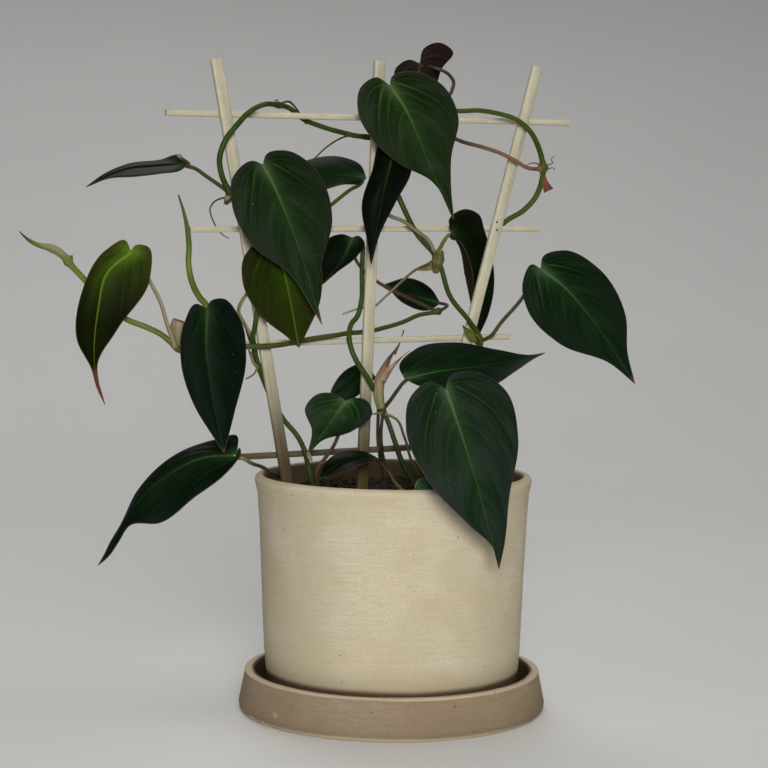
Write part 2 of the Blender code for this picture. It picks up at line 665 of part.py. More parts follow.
def hole_mesh(name, foot, radius):
    """A plain upright hole, from just below a stem's end to above the soil."""
    middle = Vector((*foot, SOIL_TOP - ROOTED / 2 + 0.004))
    shape = bmesh.new()
    bmesh.ops.create_cone(
        shape,
        cap_ends=True,
        segments=8,
        radius1=radius,
        radius2=radius,
        depth=ROOTED + 0.010,
        matrix=Matrix.Translation(middle),
    )
    mesh = bpy.data.meshes.new(name)
    shape.to_mesh(mesh)
    shape.free()
    return mesh


def build_soil_holes(helpers):
    """A plain hole for each stem and a slot for each upright."""
    holes = collection("soil_holes", helpers, hidden=True)
    for name, runs in STEMS.items():
        for number, run in enumerate(runs):
            if not run.foot:
                continue
            hole = hole_mesh(f"hole_{name}_{number}", run.foot, run.radii[0] * MM + 2 * GAP)
            add_cutter(hole.name, hole, holes)
    for name, stick in UPRIGHTS.items():
        slot = upright_mesh(f"slot_{name}", stick, GAP)
        add_cutter(slot.name, slot, holes)
    return holes


def box_mesh(name, start, end, width, depth):
    """A straight stick between two points, its broad side facing the trellis's front."""
    run = end - start
    side = FRONT.cross(run.normalized())
    frame = Matrix((side * width, FRONT * depth, run)).transposed().to_4x4()
    frame.translation = (start + end) / 2
    shape = bmesh.new()
    bmesh.ops.create_cube(shape, size=1.0, matrix=frame)
    bmesh.ops.recalc_face_normals(shape, faces=shape.faces)
    mesh = bpy.data.meshes.new(name)
    shape.to_mesh(mesh)
    shape.free()
    return mesh


def upright_mesh(name, stick, spare=0.0):
    start = TRELLIS_FOOT + ALONG * stick["foot"]
    end = TRELLIS_FOOT + ALONG * stick["top"] + RISE * stick["height"]
    below = (start - end).normalized() * (STICK_IN_SOIL + spare)
    return box_mesh(name, start + below, end, STICK_WIDTH + 2 * spare, STICK_DEPTH + 2 * spare)


def build_trellis(home, finish):
    for name, stick in UPRIGHTS.items():
        add_object(name, upright_mesh(name, stick), home, finish)
    behind = -FRONT * (STICK_DEPTH / 2 + GAP + BAR_DEPTH / 2)
    for name, bar in CROSSBARS.items():
        level = TRELLIS_FOOT + RISE * bar["height"] + behind
        left = level + ALONG * bar["left"]
        right = level + ALONG * bar["right"]
        add_object(name, box_mesh(name, left, right, BAR_HEIGHT, BAR_DEPTH), home, finish)


def build_leaves(home, finishes):
    for name in LEAVES:
        finish = finishes["olive" if name in ("leaf_olive", "leaf_far_left") else "green"]
        thicken(add_object(name, blade_surface(name), home, finish), BLADE_THICKNESS)


def main():
    clear_scene()
    scene = bpy.context.scene.collection
    home = collection("potted_philodendron", scene)
    helpers = collection("helpers", scene, hidden=True)
    clay = material("pot_clay", (0.56, 0.50, 0.36), 0.75)
    saucer_clay = material("saucer_clay", (0.36, 0.28, 0.20), 0.75)
    earth = material("potting_soil", (0.05, 0.035, 0.025), 0.95)
    wood = material("trellis_wood", (0.68, 0.58, 0.43), 0.65)
    vine = material("stem_green", (0.16, 0.22, 0.05), 0.5)
    leaves = {
        "green": material("leaf_green", (0.03, 0.08, 0.035), 0.6),
        "olive": material("leaf_olive_green", (0.10, 0.13, 0.02), 0.55),
    }
    build_pot(home, clay)
    build_saucer(home, saucer_clay)
    build_soil(home, helpers, earth)
    build_trellis(home, wood)
    build_leaves(home, leaves)
    for name, runs in STEMS.items():
        build_stem(name, runs, home, helpers, vine)


main()
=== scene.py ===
"""Looks of a potted climbing philodendron on its small fan trellis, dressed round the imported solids.

Metres, +Z up, -Y is the front. Leaves and stems repeat the rows of the part's source: a point is
given by its place in the photograph, 768 pixels wide and high, as pixels across and down, and how
many millimetres it stands in front of the trellis.
"""

import math
from collections import namedtuple
from types import SimpleNamespace

import bmesh
import bpy
import numpy as np
from mathutils import Matrix, Vector, kdtree, noise


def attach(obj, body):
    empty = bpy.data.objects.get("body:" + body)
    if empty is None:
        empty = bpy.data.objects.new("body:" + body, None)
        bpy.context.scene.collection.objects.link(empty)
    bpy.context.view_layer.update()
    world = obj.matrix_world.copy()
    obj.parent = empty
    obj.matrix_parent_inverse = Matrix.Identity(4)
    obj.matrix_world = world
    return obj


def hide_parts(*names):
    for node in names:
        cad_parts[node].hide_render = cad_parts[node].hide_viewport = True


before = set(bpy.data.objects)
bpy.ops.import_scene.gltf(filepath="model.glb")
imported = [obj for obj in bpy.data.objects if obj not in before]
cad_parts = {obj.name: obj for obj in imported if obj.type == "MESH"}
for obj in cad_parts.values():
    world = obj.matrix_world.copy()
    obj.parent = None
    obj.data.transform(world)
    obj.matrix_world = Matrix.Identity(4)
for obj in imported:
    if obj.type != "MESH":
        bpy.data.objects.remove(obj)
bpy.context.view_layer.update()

MM = 0.001

# Viewpoint of the photograph: the eye, the lens in pixels, and the way the view is turned
EYE = np.array((0.0, -1.1, 0.257))
LENS = 2039.0
PICTURE_SIDE = 768.0
PICTURE_MIDDLE = PICTURE_SIDE / 2
VIEW = Matrix.Rotation(0.005, 3, "Z") @ Matrix.Rotation(-0.073, 3, "X") @ Matrix.Rotation(-0.009, 3, "Y")
SENSOR_WIDTH = 36.0

# Pottery: colours are of the dry clay, of its drifts, of its rings and specks and of the brown
# near the foot, partly painted shade, of worn places and painted edge highlights, and of the dark
# clay low down and inside, partly damp and partly painted shade
POT_RIM_RADIUS = 0.075
POT_FOOT_RADIUS = 0.068
POT_TOP = 0.128
POT_WALL = 0.0058
POT_FLOOR = 0.008
DRAIN_RADIUS = 0.007
SAUCER_RADIUS = 0.0832
SAUCER_RIM_RADIUS = 0.0801
SAUCER_HEIGHT = 0.022
SAUCER_WALL = 0.0055
SAUCER_FLOOR = 0.006
POT_BOTTOM = SAUCER_FLOOR + 0.0003
TURN_STEPS = 160
POT_CLAY = dict(
    pale=(0.60, 0.552, 0.430), warm=(0.575, 0.505, 0.362), stain_and_shade=(0.42, 0.350, 0.230),
    worn_and_highlight=(0.46, 0.375, 0.25), damp_and_shade=(0.060, 0.034, 0.014), foot=(SAUCER_HEIGHT, 0.038),
    inside=(POT_FOOT_RADIUS - POT_WALL + 0.0010, (POT_RIM_RADIUS - POT_FOOT_RADIUS) / POT_TOP),
    painted_edge_highlights=[(POT_TOP - 0.0012, POT_TOP + 0.0004)],
)
SAUCER_CLAY = dict(
    pale=(0.35, 0.278, 0.200), warm=(0.31, 0.240, 0.155), stain_and_shade=(0.200, 0.145, 0.088),
    worn_and_highlight=(0.56, 0.47, 0.34), damp_and_shade=(0.055, 0.032, 0.015), foot=(-0.004, 0.020),
    inside=(SAUCER_RIM_RADIUS - SAUCER_WALL + 0.0014, 0.0),
    painted_edge_highlights=[(SAUCER_HEIGHT - 0.0006, SAUCER_HEIGHT + 0.0006), (0.0034, 0.0018)],
)
IRON = (0.11, 0.065, 0.03)
PINHOLE = (0.22, 0.16, 0.10)
POT_THROWN = dict(Ring_Depth=0.00026, Rings_per_Metre=420.0, Unevenness=0.0006)
SAUCER_THROWN = dict(Ring_Depth=0.00030, Rings_per_Metre=500.0, Unevenness=0.0005)

# Chips in the saucer's outer wall: pixels across and down, and radius
CHIPS = [
    (243, 716, 0.0030), (252, 722, 0.0034), (263, 727, 0.0026), (275, 715, 0.0019), (535, 684, 0.0016),
]
CHIP_DEPTH = 0.42
CHIP_CUTS = 6
CHIP_MARGIN = 0.004
CHIP_RAGGED = 0.6
CHIP_FINENESS = 700.0

# Soil
SOIL_TOP = 0.117
SOIL_LUMP = 0.0016
ROOTED = 0.012
UPRIGHT_ABOVE_SOIL = 0.003
# Soil colours: the peat's own dark brown, made darker still as painted shade inside the pot
EARTHS = {
    "peat": dict(dark=(0.006, 0.004, 0.0025), light=(0.022, 0.014, 0.009), patch_scale=260.0),
    "peat_crumb": dict(dark=(0.007, 0.0045, 0.0028), light=(0.030, 0.018, 0.011), patch_scale=420.0),
    "bark_chip": dict(dark=(0.022, 0.011, 0.006), light=(0.085, 0.045, 0.023), patch_scale=340.0),
}
CRUMBS = {
    "peat_crumbs": dict(Per_Square_Metre=95000.0, Smallest=0.0006, Largest=0.0016, Flatness=0.9, Seed=3),
    "bark_chips": dict(Per_Square_Metre=9000.0, Smallest=0.0014, Largest=0.0036, Flatness=0.35, Seed=11),
}

# Trellis
TRELLIS_FOOT = np.array((-0.017, -0.009, SOIL_TOP))
TRELLIS_YAW = math.radians(27.0)
TRELLIS_TILT = math.radians(0.6)
STICK_WIDTH = 0.0062
STICK_DEPTH = 0.0028
STICK_EASE = 0.14
STICK_STEP = 0.004
STICK_WEAR = 0.012
STICK_CREASE = math.radians(50.0)
BAR_HEIGHT = 0.0032
BAR_DEPTH = 0.0030
BAR_GAP = 0.0003
STICK_IN_SOIL = 0.062
UPRIGHTS = {
    "upright_left": dict(foot=-0.042, top=-0.0825, height=0.230),
    "upright_middle": dict(foot=0.0, top=0.011, height=0.232),
    "upright_right": dict(foot=0.041, top=0.1085, height=0.232),
}
CROSSBARS = {
    "crossbar_1": dict(height=0.2022, left=-0.1090, right=0.1310),
    "crossbar_2": dict(height=0.1430, left=-0.0965, right=0.1120),
    "crossbar_3": dict(height=0.0832, left=-0.0835, right=0.0930),
    "crossbar_4": dict(height=0.024, left=-0.0705, right=0.0720),
}
PINS = [(497, 222), (497, 230)]
PIN_RADIUS = 0.0007
PIN_FLATNESS = 0.35
# Heights over which the wood fades from dark brown near the soil, partly damp stain and partly painted
# shade, to pale
DAMP_AND_SHADED_WOOD = (SOIL_TOP + 0.034, SOIL_TOP + 0.112)

# Leaves: the midrib runs from where the stalk meets the blade to the tip, and the left and right
# edges round the lobes to the tip. Lift is how far each edge stands forward of the midrib, at even
# stations, and cup is how far the middle of each half does. The tone multiplies the finish's colours
# and holds each leaf's painted light and shade: darker for leaves in shade, brighter for lit ones.
# The tip's light multiplies those towards the tip, painted light and shade along the blade, and from
# the station red_from on the tip turns red. Halves narrower than FULL_RELIEF are pressed in less.
# The stalk ends a little behind the blade and up its midrib.
BLADE_THICKNESS = 0.00045
BLADE_MESH = 0.0008
BLADE_ROWS = (16, 110)
BLADE_COLUMNS = (6, 30)
BLADE_WELD = 0.00002
CLOSER_AT_BASE = 1.3
LEAST_SIZE = 0.0005
FULL_RELIEF = 0.012
EDGE_STEPS = 201
LOBE_SHARE = 0.2
STALK_BEHIND = 0.0006
STALK_ALONG = 0.0014
Leaf = namedtuple(
    "Leaf", "midrib left right lifts cup turned_away finish tone red_from veining tip_light",
    defaults=(1.0, False, "leaf_velvet", (1.0, 1.0, 1.0), 0.96, 0.5, 1.0))
LEAVES = {
    "leaf_top": Leaf(
        midrib=[(390, 86, 14), (405, 108, 17), (418, 137, 18.5), (431, 169, 19), (454, 221, 15)],
        left=[(376, 77.5), (361, 87), (358, 112), (372, 139), (400, 164), (433, 182), (449, 206)],
        right=[(392, 77), (410, 71.5), (443, 86), (458, 116), (451, 158), (451, 190)],
        lifts=([-4], [-4]), tone=(0.97, 0.93, 0.8), tip_light=1.4, red_from=0.95, veining=0.95,
    ),
    "leaf_upper_left": Leaf(
        midrib=[(263, 165, 13), (273, 184, 15), (293, 232, 19), (322, 325, 19)],
        left=[(253, 161), (233, 177), (232, 205), (251, 244), (292, 276), (309, 303)],
        right=[(267, 154), (284, 150.5), (316, 170), (332, 217), (321, 266), (317, 298)],
        lifts=([-2], [-4]), cup=1.2, tone=(0.8, 0.78, 0.78), tip_light=1.5, red_from=0.93, veining=0.6,
    ),
    "leaf_olive": Leaf(
        midrib=[(276, 240, 8), (287, 285, 9.5), (299, 348, 11)],
        left=[(262, 240), (244, 257), (243, 284), (262, 317), (288, 338)],
        right=[(295, 237), (318, 258), (321, 296), (306, 334)],
        lifts=([-1], [2]), cup=0.4, finish="leaf_velvet_olive", tone=(0.5, 0.52, 0.32), tip_light=1.7,
    ),
    "leaf_narrow": Leaf(
        midrib=[(398, 137, 8), (384, 190, 15), (371, 265, 12)],
        left=[(386, 136), (372, 172), (362, 204), (367, 240)],
        right=[(412, 141), (411, 172), (395, 203), (379, 236)],
        lifts=([-7], [-8]), cup=0.5, tone=(0.24, 0.22, 0.31), veining=0.15,
    ),
    "leaf_back_left": Leaf(
        midrib=[(366, 178, -1), (335, 175, -1), (277, 182, 0)],
        left=[(361, 166), (343, 157.5), (312, 159), (288, 170)],
        right=[(361, 183), (343, 184.5), (318, 191), (294, 191)],
        lifts=([-14], [8]), tone=(0.5, 0.66, 0.76), veining=0.6,
    ),
    "leaf_behind": Leaf(
        midrib=[(352, 238, -1), (343, 257, -1), (322, 285, 0)],
        left=[(343, 234.5), (329, 238), (321, 256), (318, 274)],
        right=[(358, 236), (364.5, 243), (357, 256), (337, 272)],
        lifts=([1], [0]), cup=0.6, tone=(0.32, 0.3, 0.34), veining=0.4,
    ),
    "leaf_folded": Leaf(
        midrib=[(451, 232, 2.5), (459, 246, 1), (465, 275, -4), (478, 337, -8)],
        left=[(450, 238), (460, 242), (468, 257), (473, 276), (472, 312)],
        right=[(449, 220), (466, 209), (479, 214.5), (484, 229), (490.5, 251), (494, 285), (487, 318)],
        lifts=([0, 4, 4, 3, 2.5, 2, 0], [0, 0.5, 0.5, 0.4, -3.2, -2.5, -2.5, -2, 0]), cup=0.0,
        tone=(0.34, 0.32, 0.26), veining=0.2,
    ),
    "leaf_right": Leaf(
        midrib=[(541, 269, 11), (560, 283, 14), (592, 319, 17), (635, 384, 16)],
        left=[(532, 264.5), (523, 281), (528, 311), (560, 344), (611, 364)],
        right=[(543, 257), (563, 250.5), (599, 269), (625, 314), (627.5, 354)],
        lifts=([-4], [-6]), cup=1.2, tone=(0.62, 0.82, 0.8), red_from=0.94, veining=0.9,
    ),
    "leaf_flat": Leaf(
        midrib=[(405, 379, 18), (440, 371, 22), (482, 366, 24), (545, 353, 21)],
        left=[(399.5, 367), (416, 349), (452, 342.5), (498, 350), (532, 355)],
        right=[(415, 384), (447, 393), (488, 388), (518, 369.5), (535, 358)],
        lifts=([-12], [20]), tone=(0.32, 0.56, 0.44), veining=0.7,
    ),
    "leaf_over_rim": Leaf(
        midrib=[(446, 389, 62), (457, 421, 79.6), (475, 478, 96.5), (499, 569, 93.5)],
        left=[(430, 382), (411, 396), (406, 428), (428, 481), (468, 524), (495, 551)],
        right=[(449, 378), (473, 372), (505, 390), (518, 438), (509, 497), (504, 546)],
        lifts=([-3], [-5]), cup=1.5, tone=(1.05, 1.04, 1.4), tip_light=1.15, red_from=0.965, veining=0.6,
    ),
    "leaf_small": Leaf(
        midrib=[(346, 401, 10), (333, 418, 12), (307, 456, 15)],
        left=[(334, 394), (317, 394.5), (305, 408), (312, 430)],
        right=[(355, 398), (367, 401), (372, 412), (352, 431), (321, 441)],
        lifts=([-3], [-3]), tone=(1.45, 1.45, 1.7), veining=0.7,
    ),
    "leaf_low": Leaf(
        midrib=[(379, 459, 15), (350, 461, 16), (318, 479, 14)],
        left=[(366, 452.5), (345, 451), (327, 461)],
        right=[(369, 462), (351, 468.5), (332, 476)],
        lifts=([-10], [10]), cup=0.5, tone=(0.12, 0.24, 0.15), veining=0.2,
    ),
    "leaf_bottom_left": Leaf(
        midrib=[(236, 455, 2), (205, 457, -1), (160, 480, -8), (98, 566, -22)],
        left=[(237, 436), (214, 440), (175, 455), (138, 490), (120, 526), (111, 541), (104, 555)],
        right=[(239.5, 447.5), (241, 453), (235, 463), (222, 477), (195, 497), (160, 523), (129, 526),
               (118.5, 542), (109, 556)],
        lifts=([-12], [8]), cup=0.8, tone=(0.24, 0.42, 0.36), veining=0.35,
    ),
    "leaf_left": Leaf(
        midrib=[(207, 309, 8), (206, 345, 10), (213, 400, 14), (224, 453, 17)],
        left=[(196, 304), (184, 324), (181, 362), (194, 405), (212, 435)],
        right=[(211, 301), (222, 298.5), (240, 319), (246, 356), (234, 414)],
        lifts=([-2], [0]), cup=1.2, tone=(0.28, 0.42, 0.5), veining=0.15,
    ),
    "leaf_far_left": Leaf(
        midrib=[(131, 252, -20), (108, 271, -19), (98, 310, -20), (95, 366, -25), (105, 405, -26)],
        left=[(125, 240.5), (106, 250), (82, 292), (77, 340), (92, 370), (97, 388)],
        right=[(135, 245.5), (147, 246), (150, 278), (117, 330), (97.5, 366), (100, 389)],
        lifts=([-4], [3]), cup=0.8, finish="leaf_velvet_olive", tone=(2.2, 2.05, 1.7), tip_light=0.12,
        red_from=0.8, veining=0.12,
    ),
    "leaf_edge_on": Leaf(
        midrib=[(187, 164, -15), (160, 166, -20), (130, 169, -27), (86, 187, -36)],
        left=[(180, 155.5), (160, 160), (130, 163.5), (105, 173.5)],
        right=[(183, 168.5), (160, 173.5), (135, 176.5), (108, 178.5)],
        lifts=([-15], [15]), cup=0.5, tone=(0.25, 0.38, 0.28), veining=0.4,
    ),
    "leaf_back_top": Leaf(
        midrib=[(420, 64, -36), (418, 84, -36), (420, 112, -34)],
        left=[(410, 60), (396, 68), (396, 90)],
        right=[(424, 48.6), (440, 42.8), (453, 52.4), (442, 68), (434, 92)],
        lifts=([-2], [-3]), cup=0.8, turned_away=True,
    ),
    "leaf_back_right": Leaf(
        midrib=[(440, 303, -36), (415, 296, -37), (385, 284, -40)],
        left=[(430, 288), (408, 278)],
        right=[(430, 310), (403, 303)],
        lifts=([-3], [2]), cup=0.6, tone=(0.35, 0.5, 0.7), veining=0.2,
    ),
    "leaf_back_low": Leaf(
        midrib=[(372, 370, -35), (355, 382, -36), (328, 402, -38)],
        left=[(366, 364), (349, 368), (333, 386)],
        right=[(373, 380), (360, 394), (341, 403)],
        lifts=([-3], [2]), cup=0.6, tone=(0.6, 0.7, 0.7),
    ),
    "leaf_young": Leaf(
        midrib=[(424, 492, 60), (425, 485, 61), (426, 478, 59)],
        left=[(415, 489), (418, 480)],
        right=[(433, 489), (431, 481)],
        lifts=([-0.5], [-0.5]), cup=0.2, finish="leaf_velvet_young", tone=(1.6, 1.4, 1.0),
    ),
}

# Side veins of half a blade: the stations where each leaves the midrib and reaches the edge, how
# late it bends to the tip, and its strength
SIDE_VEINS = [
    (0.015, 0.13, 1.2, 0.5),
    (0.09, 0.33, 1.5, 0.8),
    (0.16, 0.56, 1.6, 1.0),
    (0.24, 0.72, 1.7, 0.45),
    (0.36, 0.84, 1.7, 0.35),
    (0.52, 0.93, 1.7, 0.25),
]
VEIN_WIDTH = 0.0015
MIDRIB_WIDTH = 0.0012
VEIN_DEPTH = 0.00012
MIDRIB_DEPTH = 0.00022
QUILT = 0.00030
MAP_SCALE = 10.0

# Velvets: colours between the veins, darkest beside them as painted shade; of the raised quilt, a
# painted sheen; beside the midrib, of the veins, of the edge line, towards the edge and at the base;
# and how strong the midrib still is at the tip
VELVETS = {
    "leaf_velvet": dict(
        deep=(0.0030, 0.0105, 0.0020), painted_quilt_sheen=(0.0120, 0.0190, 0.0115), fresh=(0.0105, 0.0360, 0.0050),
        vein=(0.080, 0.145, 0.040), edge=(0.130, 0.095, 0.070), margin=(0.0150, 0.0185, 0.0140),
        pale_base=(0.062, 0.095, 0.050), faint=0.22,
    ),
    "leaf_velvet_olive": dict(
        deep=(0.010, 0.018, 0.0015), painted_quilt_sheen=(0.016, 0.017, 0.0035), fresh=(0.038, 0.080, 0.004),
        vein=(0.120, 0.210, 0.030), edge=(0.110, 0.090, 0.045), margin=(0.013, 0.011, 0.0035),
        pale_base=(0.090, 0.150, 0.018), faint=0.6,
    ),
    "leaf_velvet_young": dict(
        deep=(0.014, 0.060, 0.040), painted_quilt_sheen=(0.030, 0.090, 0.064), fresh=(0.050, 0.130, 0.080),
        vein=(0.130, 0.290, 0.200), edge=(0.180, 0.290, 0.200), margin=(0.026, 0.075, 0.052),
        pale_base=(0.110, 0.240, 0.170), faint=0.22,
    ),
}
RED_TIP = (0.150, 0.046, 0.034)
DUST = (0.15, 0.20, 0.12)
WHITE = (1.0, 1.0, 1.0)

